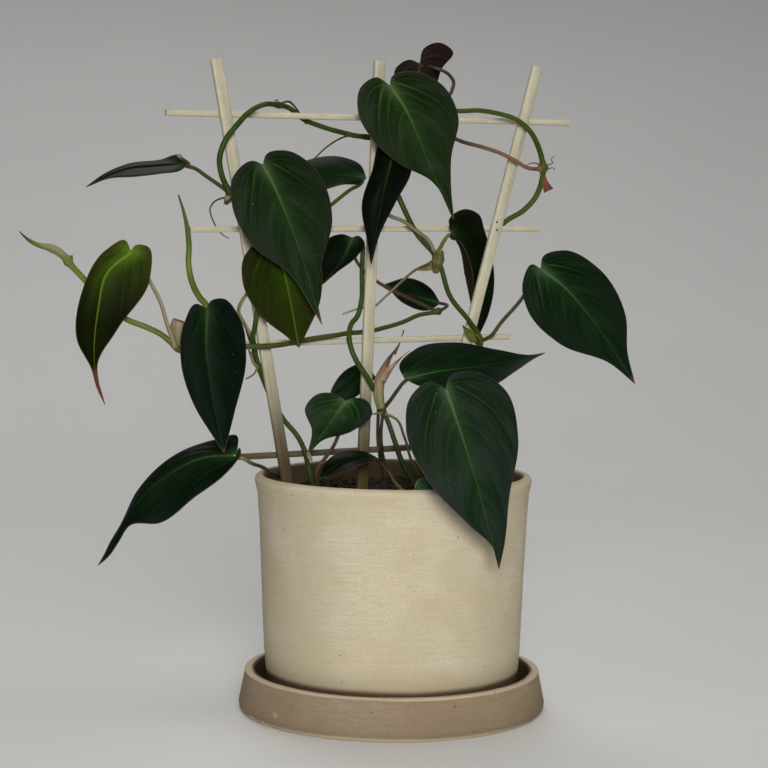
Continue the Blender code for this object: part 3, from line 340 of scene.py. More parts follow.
# Stems: each run is a tapering tube with radii in millimetres and colours along it. It can start
# at a foot in the soil, in metres across and back, and end behind the leaf that it carries. A
# sheath is a rolled leaf scale that wraps the given degrees to each side of its back, along its
# length, and opens on the side named.
Run = namedtuple("Run", "radii points tints foot leaf", defaults=("green green", None, None))
Sheath = namedtuple("Sheath", "radii points tints wraps opens")
STEMS = {
    "vine_right": [
        Run([1.6, 1.4, 1.4, 1.4, 1.5, 1.4, 1.3, 1.45, 1.5], [
            (467, 440, 9), (472, 400, 3), (478, 360, 2), (480, 338, 5), (470, 322, 5.4), (451, 298, 2),
            (437, 258, 0.5), (417, 234, 1.2), (400, 200, -1.5), (385, 165, -6.5), (376, 141, -7),
            (352, 135, -7), (320, 126, -8.5), (303, 119, -9), (290, 108.5, -8.6), (277, 105, -4.3),
            (264, 104.5, 1.2), (252, 110, 3.4), (237, 125, 5.4), (225, 141, 4.8), (219.5, 160, 4.2),
            (222, 176, 3.6), (231, 195, 3.4),
        ], foot=(0.038, 0.002)),
        Run([1.5, 1.3, 1.4, 1.5, 1.5, 1.3, 1.3], [
            (478, 356, 2), (470, 353, -5), (466, 343, -9.5), (472, 320, -11), (480, 290, -13),
            (489, 258, -12), (496, 232, -9), (505, 222, -7.5), (524, 210, -3), (535, 198, 0),
            (541, 184, 2), (543, 168, 3), (538, 146, 4), (529, 130, 5.5), (517, 120, 6), (500, 114, 5.5),
            (479, 110.5, 4), (458, 111, 3), (440, 109, 0),
        ], "green bright"),
        Run([1.1, 1.0], [
            (542, 169, 3), (528, 168, 4.5), (514, 160, 6), (500, 153, 6), (482, 147, 6), (458, 140, 6.5),
            (430, 120, 7), (405, 97, 9.5),
        ], "pink pink brown olive olive", leaf="leaf_top"),
        Run([1.1, 0.9], [
            (440, 109, 0), (446, 100, -10), (452, 90, -18), (453, 80, -24), (447, 73, -28),
            (435, 68, -32), (426, 66, -37),
        ], "brown brown", leaf="leaf_back_top"),
        Run([1.1, 1.0], [
            (481, 341, 5), (491, 336, 3.5), (500, 324, 5), (523, 297, 5.5), (533, 281, 8),
        ], "olive brown", leaf="leaf_right"),
        Run([1.1, 1.0], [
            (437, 256, 0.5), (444, 241, 0.5), (449, 235, 0.8),
        ], "olive lime", leaf="leaf_folded"),
        Run([1.1, 1.0], [
            (436, 257, 0.5), (429, 241, 2.5), (418, 232, 4), (403, 221, 3.6), (388, 214, 3),
            (388, 190, 3), (393, 160, 3), (397, 145, 5),
        ], "cream brown", leaf="leaf_narrow"),
        Run([0.8, 0.5], [
            (437, 258, 0.5), (428, 264, -0.5), (417, 269, -1), (399, 284, -2), (384, 298, -4.5),
            (372, 308, -7.2), (361, 308, -7.4), (354, 310, -6), (343, 314, -4),
        ], "olive cream"),
        Run([0.6, 0.4], [
            (366, 135, -7), (344, 137, -6), (328, 146, -5), (314, 159, -4),
        ], "brown rose"),
        Run([0.6, 0.5], [
            (280, 104, -5), (290, 102, -10.5), (300, 114, -12), (306, 124, -11),
        ], "rose brown rose"),
        Run([0.5, 0.3], [
            (279, 106, -4), (276, 103, -3), (274.5, 101, -2.6), (276.5, 99.5, -2.4), (278.5, 102, -2.6),
        ], "brown rose"),
        Run([1.1, 1.0], [(230, 193, 3.4), (245, 184, 6), (257, 173, 8)], leaf="leaf_upper_left"),
        Run([1.1, 1.0], [
            (229, 192, 3.4), (206, 176, -6), (194, 168, -12.5),
        ], "olive olive", leaf="leaf_edge_on"),
        Run([0.8, 0.95, 0.9, 1.1], [
            (189, 164, -14.6), (185, 161, -14.2), (181, 158, -13.8), (178.6, 155.2, -13.5),
        ], "olive brown brown cream"),
        Run([0.5, 0.35, 0.3], [
            (230, 196, 3), (214, 202, -2), (210, 209, -5), (212, 218, -6.5), (217, 228, -7),
            (223, 235, -6.5), (229, 238.5, -6),
        ], "dark dark dark dark dark cream"),
        Run([0.5, 0.35, 0.25], [
            (543, 167, 3), (548, 165, 4.5), (553, 163, 5.4), (551, 159, 6), (555, 156, 6.4),
        ], "straw straw"),
        Run([0.5, 0.3], [
            (541, 166, 3), (535, 163, 5), (529, 164, 6), (526, 166, 6.4),
        ], "straw straw"),
        Run([0.4, 0.25], [
            (544, 168, 3.4), (549, 169, 5), (553, 167.5, 5.6), (554.5, 170, 6),
        ], "straw brown"),
        Run([0.4, 0.25], [(540, 170, 3.6), (536, 169, 5.4), (532, 170.5, 6)], "straw brown"),
    ],
    "vine_middle": [
        Run([1.6, 1.45, 1.3, 1.5, 1.4, 1.35, 1.3], [
            (402, 462, 14), (394, 439, 9), (387, 419, 5), (381, 406, 4.6), (374, 389, 5), (367, 377, 5),
            (356, 360, 3), (351, 348, 1), (349, 334, -0.3), (352, 323, -3), (357, 317, -4.4),
            (361, 303, -4.7), (362, 270, -4.7), (363, 246, -4.7),
        ], foot=(0.014, -0.016)),
        Run([1.2, 1.3, 1.45, 1.5, 1.5, 1.6], [
            (439, 311, -6), (433, 312.5, -6), (419, 315, -5.5), (403, 322, -5), (385, 327.5, -4.8),
            (368, 331.5, -4.5), (358, 332.5, -3.4), (349, 333, -2), (338, 335, 0), (320, 337.5, 0.8),
            (302, 340.5, 1), (285, 344, 3), (268, 346, 4.4), (247, 346.5, 4.2), (232, 347.5, 1.5),
            (217, 348.5, 0.2), (205, 349, -3), (191, 350.5, -9), (179, 350, -14), (171, 342.5, -16.4),
            (162, 335, -18), (146, 327, -20), (126, 319, -25), (105, 300, -31), (85, 280, -34),
            (70, 264, -37), (64, 257, -39),
        ], "olive green olive bright lime lime"),
        Run([1.5, 1.95, 2.2, 2.25, 1.6, 1.25, 1.0, 0.6, 0.25], [
            (70, 261, -38), (64, 256.5, -39), (58, 251.5, -40.5), (49, 247.5, -42.5), (40, 245.5, -44.5),
            (31, 241.5, -47), (25, 237, -48.5), (19.4, 231.3, -50),
        ], "lime pale pale lime bright brown"),
        Run([0.8, 0.7, 0.4], [(70, 262, -38), (71.5, 258, -37), (72, 255.5, -37)], "straw brown"),
        Run([0.7, 0.6, 0.3], [(68, 260, -37), (66, 263, -36), (64.5, 265, -36)], "straw straw"),
        Run([1.1, 1.0], [
            (175.5, 348, -14), (168, 327, -17), (160, 301, -21), (149, 280, -24.5), (139, 263, -25),
        ], "cream cream", leaf="leaf_far_left"),
        Run([1.5, 1.7, 1.6, 1.4, 0.4], [
            (200, 348, -5), (205, 335, -1), (207, 318, 3), (206, 305, 3.6), (200, 298, 4), (192, 282, 5),
            (188.5, 263, 6), (189, 246, 7), (187.5, 230, 7), (183.5, 211, 7), (178.5, 195, 7),
        ], "lime lime lime bright lime bright bright green"),
        Run([1.1, 1.0], [(206.5, 324, 2.5), (207, 315, 4.5)], leaf="leaf_left"),
        Run([1.0, 0.9], [
            (438, 312, -6), (410, 298.5, -7), (385, 286.5, -7.5), (363, 270, -8.2), (355, 258, -6.5),
            (352.5, 246, -4),
        ], "brown rose", leaf="leaf_behind"),
        Run([1.1, 1.0], [
            (383, 409, 4.6), (389, 402, 8), (397, 391, 13), (402, 384, 15),
        ], "brown olive", leaf="leaf_flat"),
        Run([0.5, 0.3], [(395, 354, -1), (400, 342, -6), (404, 330, -8)], "rose dark"),
        Run([1.0, 0.9], [
            (389, 474, 9), (385, 464, 8), (381, 433, 6), (383, 412, 5),
        ], "dark dark", foot=(0.004, -0.008)),
        Run([0.8, 0.7], [
            (412, 462, 30), (404, 436, 18), (396, 419, 9), (384, 413, 5),
        ], "olive straw", foot=(0.02, -0.03)),
        Run([0.7, 0.4], [(382, 413, 5), (372, 414, 6.5)], "straw straw"),
        Run([1.0, 0.9], [
            (439, 311, -6), (446, 307, -20), (444, 304, -33),
        ], "brown brown", leaf="leaf_back_right"),
    ],
    "vine_low": [
        Run([1.4, 1.3], [
            (308, 466, 1.2), (305, 452, 0.4), (298, 437, -1.5), (284, 420, -4), (271, 398, -4),
            (265, 384, -3.8), (259, 368, -3.2), (256, 357, -1.4), (254, 347, 0.2), (253, 336, 2),
            (255, 326, 3.8), (257, 312, 4.2), (262, 290, 4.6), (270, 262, 5), (284, 242, 5), (292, 229, 5),
        ], foot=(-0.0415, -0.024)),
        Run([1.0, 0.9], [
            (256, 350, 0.6), (250, 334, -2), (243, 321, -3), (238.5, 311, -1), (242, 301, 2),
            (249, 291, 4.3), (262, 264, 4.4), (272, 246, 5),
        ], "cream lime", leaf="leaf_olive"),
        Run([1.1, 1.0], [
            (290, 231, 5), (312, 220, 5), (331, 205, 4), (350, 190, 2), (362, 182, -0.5),
        ], "bright green", leaf="leaf_back_left"),
        Run([0.6, 0.4], [(258, 366, -3), (254, 374, -1), (246, 379, 0)], "straw straw"),
    ],
    "petiole_small": [
        Run([1.1, 0.9], [
            (317, 470, 20), (326, 457, 20), (336, 441, 11), (343, 420, 6), (346, 408, 7),
        ], "dark brown brown rose", foot=(-0.038, -0.043), leaf="leaf_small"),
    ],
    "petiole_low": [
        Run([1.0, 0.9], [
            (396, 484, 19), (386, 469, 14),
        ], "lime olive dark", foot=(0.007, -0.026), leaf="leaf_low"),
    ],
    "petiole_over_rim": [
        Run([1.2, 1.1], [
            (452, 450, 47), (451, 420, 50), (448, 400, 54),
        ], "olive bright", foot=(0.034, -0.035), leaf="leaf_over_rim"),
    ],
    "petiole_bottom_left": [
        Run([1.1, 1.0], [
            (282, 478, -18.5), (274, 474, -16), (262, 467, -9.5), (251, 463, -1.2), (244, 459, 1.6),
        ], "dark dark olive olive cream", foot=(-0.052, -0.005), leaf="leaf_bottom_left"),
    ],
    "petiole_back_low": [
        Run([1.0, 0.9], [
            (378, 440, -24), (378, 400, -29), (375, 379, -36),
        ], "brown olive", foot=(-0.005, 0.022), leaf="leaf_back_low"),
    ],
    "petiole_young": [
        Run([0.9, 0.7], [
            (426, 498, 58), (424.2, 493.2, 59.4),
        ], "bright bright", foot=(0.018, -0.052)),
    ],
}
SHEATHS = {
    "sheath_low_knot": Sheath(
        [2.2, 2.7, 2.9, 2.7, 2.4, 1.9, 1.1, 0.4],
        [(381, 408, 5), (379, 400, 5.2), (378, 390, 5.2), (380, 379, 4.2), (385, 369, 2.5),
         (390, 360, 0.4), (395, 352, -1.6), (398.5, 345.5, -3)],
        "pale pale cream pink pink rose rose cream",
        (176, 172, 165, 150, 120, 85, 60, 35), "right",
    ),
    "sheath_low_knot_prong": Sheath(
        [2.6, 2.5, 2.2, 1.6, 0.9, 0.35],
        [(381, 381, 5.2), (386.5, 371, 5.2), (393, 363, 5.0), (400, 356.5, 5), (405, 353, 5),
         (409.5, 350, 5)],
        "cream pink blush pink pink brown", (150, 125, 95, 75, 55, 30), "left",
    ),
    "sheath_arm_knot": Sheath(
        [1.4, 2.3, 3.0, 3.6, 3.4, 2.2],
        [(435.5, 273, 0.5), (436.2, 268.5, 1.2), (437, 264, 1.8), (438.3, 259, 2.2), (440.2, 254, 2.4),
         (442.5, 249.5, 2.4)],
        "olive lime olive straw olive lime brown", (178, 170, 158, 140, 118, 95),
        "right",
    ),
    "sheath_arm_flap": Sheath(
        [1.2, 1.7, 1.4, 0.5],
        [(437, 267, 0.6), (430, 267.5, 0.4), (424, 269, 0), (418, 270.5, -0.6)],
        "cream straw cream", (110, 80, 60, 30), "front",
    ),
    "sheath_right_knot": Sheath(
        [1.5, 2.2, 2.2, 1.6, 0.5],
        [(480, 344, 4), (475.5, 339, 5.6), (470, 334, 6), (466, 330, 5.8), (462.5, 325.5, 5)],
        "olive lime lime brown", (175, 140, 110, 80, 30), "front",
    ),
    "sheath_top_left_knot": Sheath(
        [1.7, 2.6, 3.0, 2.6, 1.6],
        [(232, 190.5, 3.4), (231, 195, 3.0), (230, 199, 2.6), (228.5, 202.5, 2.2), (226.5, 205.5, 1.8)],
        "pink brown cream rose brown", (170, 130, 110, 90, 60), "right",
    ),
    "sheath_dry_red": Sheath(
        [1.5, 1.5, 1.3, 1.4, 2.2, 3.0],
        [(540.5, 165, 3.8), (542, 171, 4.4), (543.5, 177, 4.8), (545, 182, 5.0), (547, 187, 5.2),
         (549, 191.5, 5.4)],
        "pink pink red red red rose", (150, 110, 80, 70, 68, 72), "front",
    ),
    "sheath_young_leaf": Sheath(
        [1.4, 3.0, 4.4, 4.9, 4.6, 3.8],
        [(178, 349, -17), (178, 342, -18.4), (178, 335, -19), (178.4, 329, -19), (179.2, 324, -18.6),
         (180.4, 320.8, -18.2)],
        "pale pale cream cream cream cream cream cream blush red",
        (176, 168, 158, 150, 142, 135), "right",
    ),
    "sheath_left_flap": Sheath(
        [0.9, 1.6, 1.8, 1.2, 0.4],
        [(253, 346, 0.4), (251.5, 339, -0.6), (249.5, 332, -1.4), (247, 326, -1.8), (244.5, 320.5, -2)],
        "rose dark rose dark dark", (160, 110, 90, 75, 35), "right",
    ),
    "sheath_left_knot": Sheath(
        [1.2, 1.9, 1.4, 0.5],
        [(258, 367, -3), (255, 361, -1.8), (252, 354, -0.8), (249, 349, 0)],
        "straw cream brown", (150, 110, 80, 30), "right",
    ),
    "bud_low_tip": Sheath(
        [0.5, 1.0, 0.9, 0.3],
        [(308, 452, 15.5), (309, 456, 15.5), (310.5, 459, 15.5), (312.5, 461, 15.5)],
        "cream blush pink", (170, 150, 120, 60), "front",
    ),
}
SHEATH_BACKS = {"right": (-1.0, 0.3, 0.0), "left": (1.0, 0.3, 0.0), "front": (0.0, 1.0, 0.1)}
SHEATH_THICKNESS = 0.00030
SHEATH_STEPS = 13
SHEATH_FLARE = 0.10
STEM_MESH = 0.0012
STEM_SIDES = 12
KNOT_SWELL = 0.24
KNOT_REACH = 0.0020

# A run's end is rounded off by a smaller ring, in shares of its radius
END_LENGTH = 0.35
END_WIDTH = 0.55

# A point takes its colour from the best of its nearest samples. The fibres start anew now and then
NEAR_SAMPLES = 10
FIBRE_SAMPLES = 400
TINTS = {
    "green": (0.028, 0.058, 0.004),
    "bright": (0.056, 0.098, 0.008),
    "lime": (0.150, 0.185, 0.028),
    "olive": (0.056, 0.056, 0.014),
    "brown": (0.060, 0.034, 0.018),
    "dark": (0.018, 0.012, 0.009),
    "rose": (0.115, 0.052, 0.034),
    "pink": (0.240, 0.140, 0.085),
    "cream": (0.290, 0.250, 0.150),
    "pale": (0.230, 0.245, 0.120),
    "blush": (0.420, 0.290, 0.220),
    "red": (0.270, 0.075, 0.034),
    "straw": (0.200, 0.160, 0.065),
}

# Studio: each light's place, width, power in watts, colour and spread in degrees
LIT_MIDDLE = (0.0, 0.0, 0.17)
LIGHTS = {
    "front_softbox": dict(
        place=(0.10, -1.60, 0.62), size=0.60, power=2.0, colour=(1.0, 0.985, 0.95), spread=50.0),
    "overhead": dict(place=(0.3, -0.1, 2.2), size=1.8, power=12.0, colour=WHITE, spread=180.0),
    "back_fill": dict(place=(-0.4, 1.7, 2.2), size=1.6, power=20.0, colour=WHITE, spread=180.0),
}
AIR_COLOUR = (0.95, 0.97, 1.0)
AIR_LIGHT = 0.06
FLOOR_COLOURS = [(0.70, 0.695, 0.68), (0.72, 0.715, 0.70)]
FLOOR_RADIUS = 0.9
FLOOR_SWEEP = 2.6
FLOOR_TOP = 4.2
FLOOR_THICKNESS = 0.1


# Places and meshes


def trellis_axes():
    """Unit vectors along the crossbars, up the trellis, and out of its front face."""
    level = Vector((math.cos(TRELLIS_YAW), math.sin(TRELLIS_YAW), 0.0))
    front = Vector((math.sin(TRELLIS_YAW), -math.cos(TRELLIS_YAW), 0.0))
    turn = Matrix.Rotation(TRELLIS_TILT, 3, front)
    return [np.array(axis) for axis in (turn @ level, turn @ Vector((0.0, 0.0, 1.0)), front)]


ALONG, RISE, FRONT = trellis_axes()


def seen(across, down, front):
    """The points in line with pixels of the photograph, front mm before the trellis."""
    across, down, front = np.broadcast_arrays(across, down, front)
    rays = np.stack([across - PICTURE_MIDDLE, np.full(across.shape, LENS), PICTURE_MIDDLE - down], -1)
    sight = rays @ np.array(VIEW).T
    reach = (front * MM - (EYE - TRELLIS_FOOT) @ FRONT) / (sight @ FRONT)
    return EYE + sight * reach[..., None]


PIXEL = np.linalg.norm(np.diff(seen([PICTURE_MIDDLE, PICTURE_MIDDLE + 1], PICTURE_MIDDLE, 0), axis=0))


def run_lengths(points):
    """How far along a path each of its points lies."""
    return np.concatenate([[0.0], np.cumsum(np.linalg.norm(np.diff(points, axis=0), axis=1))])


def columns_at(places, knots, values):
    """Each column of the values, read between its knots."""
    return np.stack([np.interp(places, knots, values[:, k]) for k in range(values.shape[1])], -1)


def spread_over(share, values):
    """Values given at even stations, read at shares of the way."""
    return np.interp(share, np.linspace(0.0, 1.0, len(values)), values)


def smooth(points, count):
    """Evenly spaced points on a rounded curve through the given points."""
    knots = np.array(points, float)
    run = run_lengths(knots)
    slopes = np.gradient(knots, run, axis=0)
    t = np.linspace(0.0, 1.0, 14)[:, None]
    fine = []
    for k, width in enumerate(np.diff(run)):
        start = (2 * t**3 - 3 * t**2 + 1) * knots[k] + (t**3 - 2 * t**2 + t) * width * slopes[k]
        finish = (3 * t**2 - 2 * t**3) * knots[k + 1] + (t**3 - t**2) * width * slopes[k + 1]
        fine.append(start + finish)
    fine = np.vstack(fine)
    run = run_lengths(fine)
    return columns_at(np.linspace(0.0, run[-1], count), run, fine)


def ways_along(points):
    """Unit vectors along a path."""
    ways = np.gradient(points, axis=0)
    return ways / np.linalg.norm(ways, axis=1)[:, None]


def add_object(name, data, finishes=()):
    obj = bpy.data.objects.new(name, data)
    bpy.context.scene.collection.objects.link(obj)
    for finish in finishes:
        data.materials.append(finish)
    return obj


def mesh_of(shape, name):
    """A smooth-shaded mesh of a bmesh, which is freed."""
    mesh = bpy.data.meshes.new(name)
    shape.to_mesh(mesh)
    shape.free()
    mesh.shade_smooth()
    return mesh


def loft(name, shape, rings, around=True, capped=False):
    """The mesh of a bmesh whose rings of vertices are joined each to the next, facing outwards."""
    for near, far in zip(rings, rings[1:]):
        for k in range(len(near) if around else len(near) - 1):
            n = (k + 1) % len(near)
            shape.faces.new(dict.fromkeys((near[k], near[n], far[n], far[k])))
    if capped:
        shape.faces.new(rings[0][::-1])
        shape.faces.new(rings[-1])
    bmesh.ops.recalc_face_normals(shape, faces=shape.faces)
    return mesh_of(shape, name)


def modify(obj, kind, **settings):
    """Adds a modifier with its settings."""
    step = obj.modifiers.new(kind.lower(), kind)
    for name, value in settings.items():
        setattr(step, name, value)
    return step


def settled(obj):
    """Replaces the object's mesh by its evaluated one, and drops the modifiers."""
    graph = bpy.context.evaluated_depsgraph_get()
    mesh = bpy.data.meshes.new_from_object(obj.evaluated_get(graph))
    obj.modifiers.clear()
    obj.data = mesh


def paint_points(mesh, name, kind, values):
    """Gives each point of a mesh a colour or a vector of its own."""
    layer = mesh.attributes.new(name, kind, "POINT")
    layer.data.foreach_set("color" if kind == "FLOAT_COLOR" else "vector", np.ravel(values))


def dress(obj, slot, *nodes):
    """Puts a finished piece on the frame, and hides the parts that it stands for. The slot is not used."""
    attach(obj, "root")
    if nodes:
        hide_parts(*nodes)


# Node helpers


class Wire:
    """A node's output. Sums and products of wires and numbers add math nodes to its tree."""

    def __init__(self, tree, socket):
        self.tree = tree
        self.socket = socket


def tree_of(*values):
    """The node tree of the first wire among the values."""
    return next(value.tree for value in values if isinstance(value, Wire))


def put(socket, value):
    """Links a wire to an input, or sets the input to a value."""
    if isinstance(value, Wire):
        value.tree.links.new(value.socket, socket)
    elif value is not None:
        socket.default_value = value


def node(tree, kind, inputs, out=0, **settings):
    """Adds a node, with inputs by name or number, and gives the wire of one of its outputs."""
    made = tree.nodes.new(kind)
    for name, value in settings.items():
        setattr(made, name, value)
    for name, value in inputs.items():
        put(made.inputs[name], value)
    return Wire(tree, made.outputs[out])


def calc(operation, *values):
    return node(tree_of(*values), "ShaderNodeMath", dict(enumerate(values)), operation=operation)


SIGNS = dict(add="ADD", sub="SUBTRACT", mul="MULTIPLY", truediv="DIVIDE", pow="POWER")
for sign, operation in SIGNS.items():
    setattr(Wire, f"__{sign}__", lambda a, b, operation=operation: calc(operation, a, b))
    setattr(Wire, f"__r{sign}__", lambda a, b, operation=operation: calc(operation, b, a))


def vector(operation, a, b=None, scale=None):
    inputs = {0: a, 1: b, 3: scale}
    return node(tree_of(a, b), "ShaderNodeVectorMath", inputs, operation=operation)


def joined(x=None, y=None, z=None):
    """A vector made of its three parts."""
    return node(tree_of(x, y, z), "ShaderNodeCombineXYZ", {0: x, 1: y, 2: z})


def parts(value, kind="XYZ"):
    """The three parts of a vector or, with the kind Color, of a colour."""
    made = value.tree.nodes.new("ShaderNodeSeparate" + kind)
    put(made.inputs[0], value)
    return [Wire(value.tree, output) for output in made.outputs]


def attribute(tree, name, out="Color"):
    return node(tree, "ShaderNodeAttribute", {}, out, attribute_name=name)


def rise(value, low, high, start=0.0, end=1.0):
    """A soft step from start to end as the value goes from low to high."""
    inputs = {0: value, 1: low, 2: high, 3: start, 4: end}
    return node(value.tree, "ShaderNodeMapRange", inputs, interpolation_type="SMOOTHSTEP")


def blend(share, a, b, mode="MIX"):
    """Colour a turning to colour b."""
    a, b = ((*value, 1.0) if isinstance(value, tuple) else value for value in (a, b))
    inputs = {0: share, 6: a, 7: b}
    return node(tree_of(share, a, b), "ShaderNodeMix", inputs, 2, data_type="RGBA", blend_type=mode)


def cloud(place, scale, detail=3.0, rough=0.55):
    inputs = {"Vector": place, "Scale": scale, "Detail": detail, "Roughness": rough}
    return node(place.tree, "ShaderNodeTexNoise", inputs)


def stretched(place, *scale):
    return node(place.tree, "ShaderNodeMapping", {"Vector": place, "Scale": scale})


def bump(height, strength, distance, under=None):
    inputs = {"Height": height, "Strength": strength, "Distance": distance, "Normal": under}
    return node(height.tree, "ShaderNodeBump", inputs)


def group(name, kind, inputs, outputs):
    """An empty node group, the wires of its inputs in order, and the sockets of its outputs."""
    tree = bpy.data.node_groups.new(name, kind)
    for side, sockets in (("INPUT", inputs), ("OUTPUT", outputs)):
        for title, socket in sockets.items():
            tree.interface.new_socket(title, in_out=side, socket_type="NodeSocket" + socket)
    given = tree.nodes.new("NodeGroupInput").outputs
    return tree, [Wire(tree, given[title]) for title in inputs], tree.nodes.new("NodeGroupOutput").inputs


def use(shared, **inputs):
    """Places a shared group, its inputs named with underscores for spaces, and gives its wires."""
    tree = tree_of(*inputs.values())
    made = tree.nodes.new("ShaderNodeGroup")
    made.node_tree = shared
    for title, value in inputs.items():
        put(made.inputs[title.replace("_", " ")], value)
    return [Wire(tree, output) for output in made.outputs]


def run_nodes(obj, tree, **values):
    """Runs a geometry node tree on the object and keeps the plain mesh."""
    step = modify(obj, "NODES", node_group=tree)
    sockets = {item.name: item.identifier for item in tree.interface.items_tree if item.in_out == "INPUT"}
    for title, value in values.items():
        step[sockets[title.replace("_", " ")]] = value
    settled(obj)


# Shared effects


def make_side_vein():
    """How near a point of a blade lies to one curved side vein."""
    sizes = ("Station", "Across", "Station Size", "Across Size", "Start", "End", "Bend", "Width")
    tree, given, made = group(
        "side_vein", "ShaderNodeTree", dict.fromkeys(sizes, "Float"), {"Mask": "Float", "Beside": "Float"})
    station, across, station_size, across_size, start, end, bend, width = given
    travel = end - start
    line = travel * across**bend + start
    slope = travel * bend * across ** (bend - 1.0)
    lengthwise = 1.0 / station_size
    crosswise = slope / across_size
    steep = calc("SQRT", lengthwise * lengthwise + crosswise * crosswise)
    away = calc("ABSOLUTE", station - line) / steep
    taper = rise(across, 0.0, 0.8, 1.0, 0.5)
    fade = rise(across, 0.62, 0.97, 1.0, 0.0)
    put(made["Mask"], rise(away, 0.0, width * taper, 1.0, 0.0) * fade)
    put(made["Beside"], rise(away, 0.0, width * 3.2, 1.0, 0.0) * fade)
    return tree


def make_mottle():
    """Soft patches with a fine grain over them, from 0 to 1."""
    inputs = {"Place": "Vector", "Patch Scale": "Float", "Grain Scale": "Float"}
    tree, given, made = group("mottle", "ShaderNodeTree", inputs, {"Patches": "Float", "Grain": "Float"})
    place, patch_scale, grain_scale = given
    put(made["Patches"], rise(cloud(place, patch_scale), 0.33, 0.67))
    put(made["Grain"], rise(cloud(place, grain_scale, 2.0, 0.7), 0.25, 0.75))
    return tree


def make_specks():
    """Small scattered dots, a given share of the cells holding one."""
    inputs = {"Place": "Vector", "Cell Scale": "Float", "Share": "Float", "Radius": "Float"}
    tree, given, made = group("specks", "ShaderNodeTree", inputs, {"Mask": "Float"})
    place, cell_scale, share, radius = given
    cells = tree.nodes.new("ShaderNodeTexVoronoi")
    put(cells.inputs["Vector"], place)
    put(cells.inputs["Scale"], cell_scale)
    pick, size, _ = parts(Wire(tree, cells.outputs["Color"]), "Color")
    reach = radius * (size + 0.35)
    dot = rise(Wire(tree, cells.outputs["Distance"]), reach * 0.5, reach, 1.0, 0.0)
    put(made["Mask"], dot * calc("LESS_THAN", pick, share))
    return tree


def make_fibres():
    """Long streaks along the Z of the given place, as in wood and stalks."""
    inputs = {"Place": "Vector", "Fineness": "Float", "Stretch": "Float"}
    tree, given, made = group("fibres", "ShaderNodeTree", inputs, {"Streaks": "Float", "Fine": "Float"})
    place, fineness, stretch = given
    drawn = vector("MULTIPLY", place, joined(1.0, 1.0, stretch))
    put(made["Streaks"], cloud(drawn, fineness, 4.0, 0.6))
    put(made["Fine"], cloud(drawn, fineness * 4.0, 3.0, 0.65))
    return tree


SIDE_VEIN = make_side_vein()
MOTTLE = make_mottle()
SPECKS = make_specks()
FIBRES = make_fibres()


class Paint:
    """A material under way, whose colours are laid one over the other on shares of the surface."""

    def __init__(self, name, roughness, specular):
        self.material = bpy.data.materials.new(name)
        self.material.use_nodes = True
        self.tree = self.material.node_tree
        self.skin = self.tree.nodes["Principled BSDF"].inputs
        self.skin["Roughness"].default_value = roughness
        self.skin["Specular IOR Level"].default_value = specular
        self.place = node(self.tree, "ShaderNodeTexCoord", {}, "Object")

    def start(self, share, a, b):
        self.colour = blend(share, a, b)

    def lay(self, share, colour, mode="MIX"):
        self.colour = blend(share, self.colour, colour, mode)

    def mottle(self, patch_scale, grain_scale):
        return use(MOTTLE, Place=self.place, Patch_Scale=patch_scale, Grain_Scale=grain_scale)

    def speckle(self, cell_scale, share, radius, strength, colour):
        """Lays dots of a colour, and gives their mask. The strength may be a mask too."""
        mask, = use(SPECKS, Place=self.place, Cell_Scale=cell_scale, Share=share, Radius=radius)
        self.lay(mask * strength, colour)
        return mask

    def finish(self, **inputs):
        """Links the colour and what else varies over the surface, and gives the material."""
        put(self.skin["Base Color"], self.colour)
        for title, value in inputs.items():
            put(self.skin[title], value)
        return self.material


# Leaf finishes


def blade_masks(tree):
    """Masks of the midrib, side veins and edge line, and places on the blade, from its two UV maps."""
    station, across, _ = parts(node(tree, "ShaderNodeUVMap", {}, uv_map="blade"))
    lengthwise, half_width, _ = parts(node(tree, "ShaderNodeUVMap", {}, uv_map="blade_size"))
    across = calc("MAXIMUM", across, 0.001)
    lengthwise = calc("MAXIMUM", lengthwise * (1 / MAP_SCALE), 0.0001)
    half_width = calc("MAXIMUM", half_width * (1 / MAP_SCALE), 0.0001)
    veins, beside = 0.0, 0.0
    for start, end, bend, strength in SIDE_VEINS:
        vein, near = use(SIDE_VEIN, Station=station, Across=across, Station_Size=lengthwise,
                         Across_Size=half_width, Start=start, End=end, Bend=bend, Width=VEIN_WIDTH)
        veins = calc("MAXIMUM", vein * strength, veins)
        beside = calc("MAXIMUM", near * strength, beside)
    from_midrib = across * half_width
    wide = rise(station, 0.0, 0.70, MIDRIB_WIDTH * 1.7, MIDRIB_WIDTH * 0.6)
    return SimpleNamespace(
        station=station, across=across, veins=veins, beside=beside, from_midrib=from_midrib,
        midrib=rise(from_midrib, 0.0, wide, 1.0, 0.0),
        edge=rise((1.0 - across) * half_width, 0.0001, 0.00055, 1.0, 0.0),
        off=(station - across**1.5 * 0.35) * lengthwise,
    )


def streaks_out(marks, lengthwise, crosswise, detail, rough):
    """Streaks that run out from the midrib between the side veins."""
    return cloud(joined(marks.off * lengthwise, marks.from_midrib * crosswise), 1.0, detail, rough)


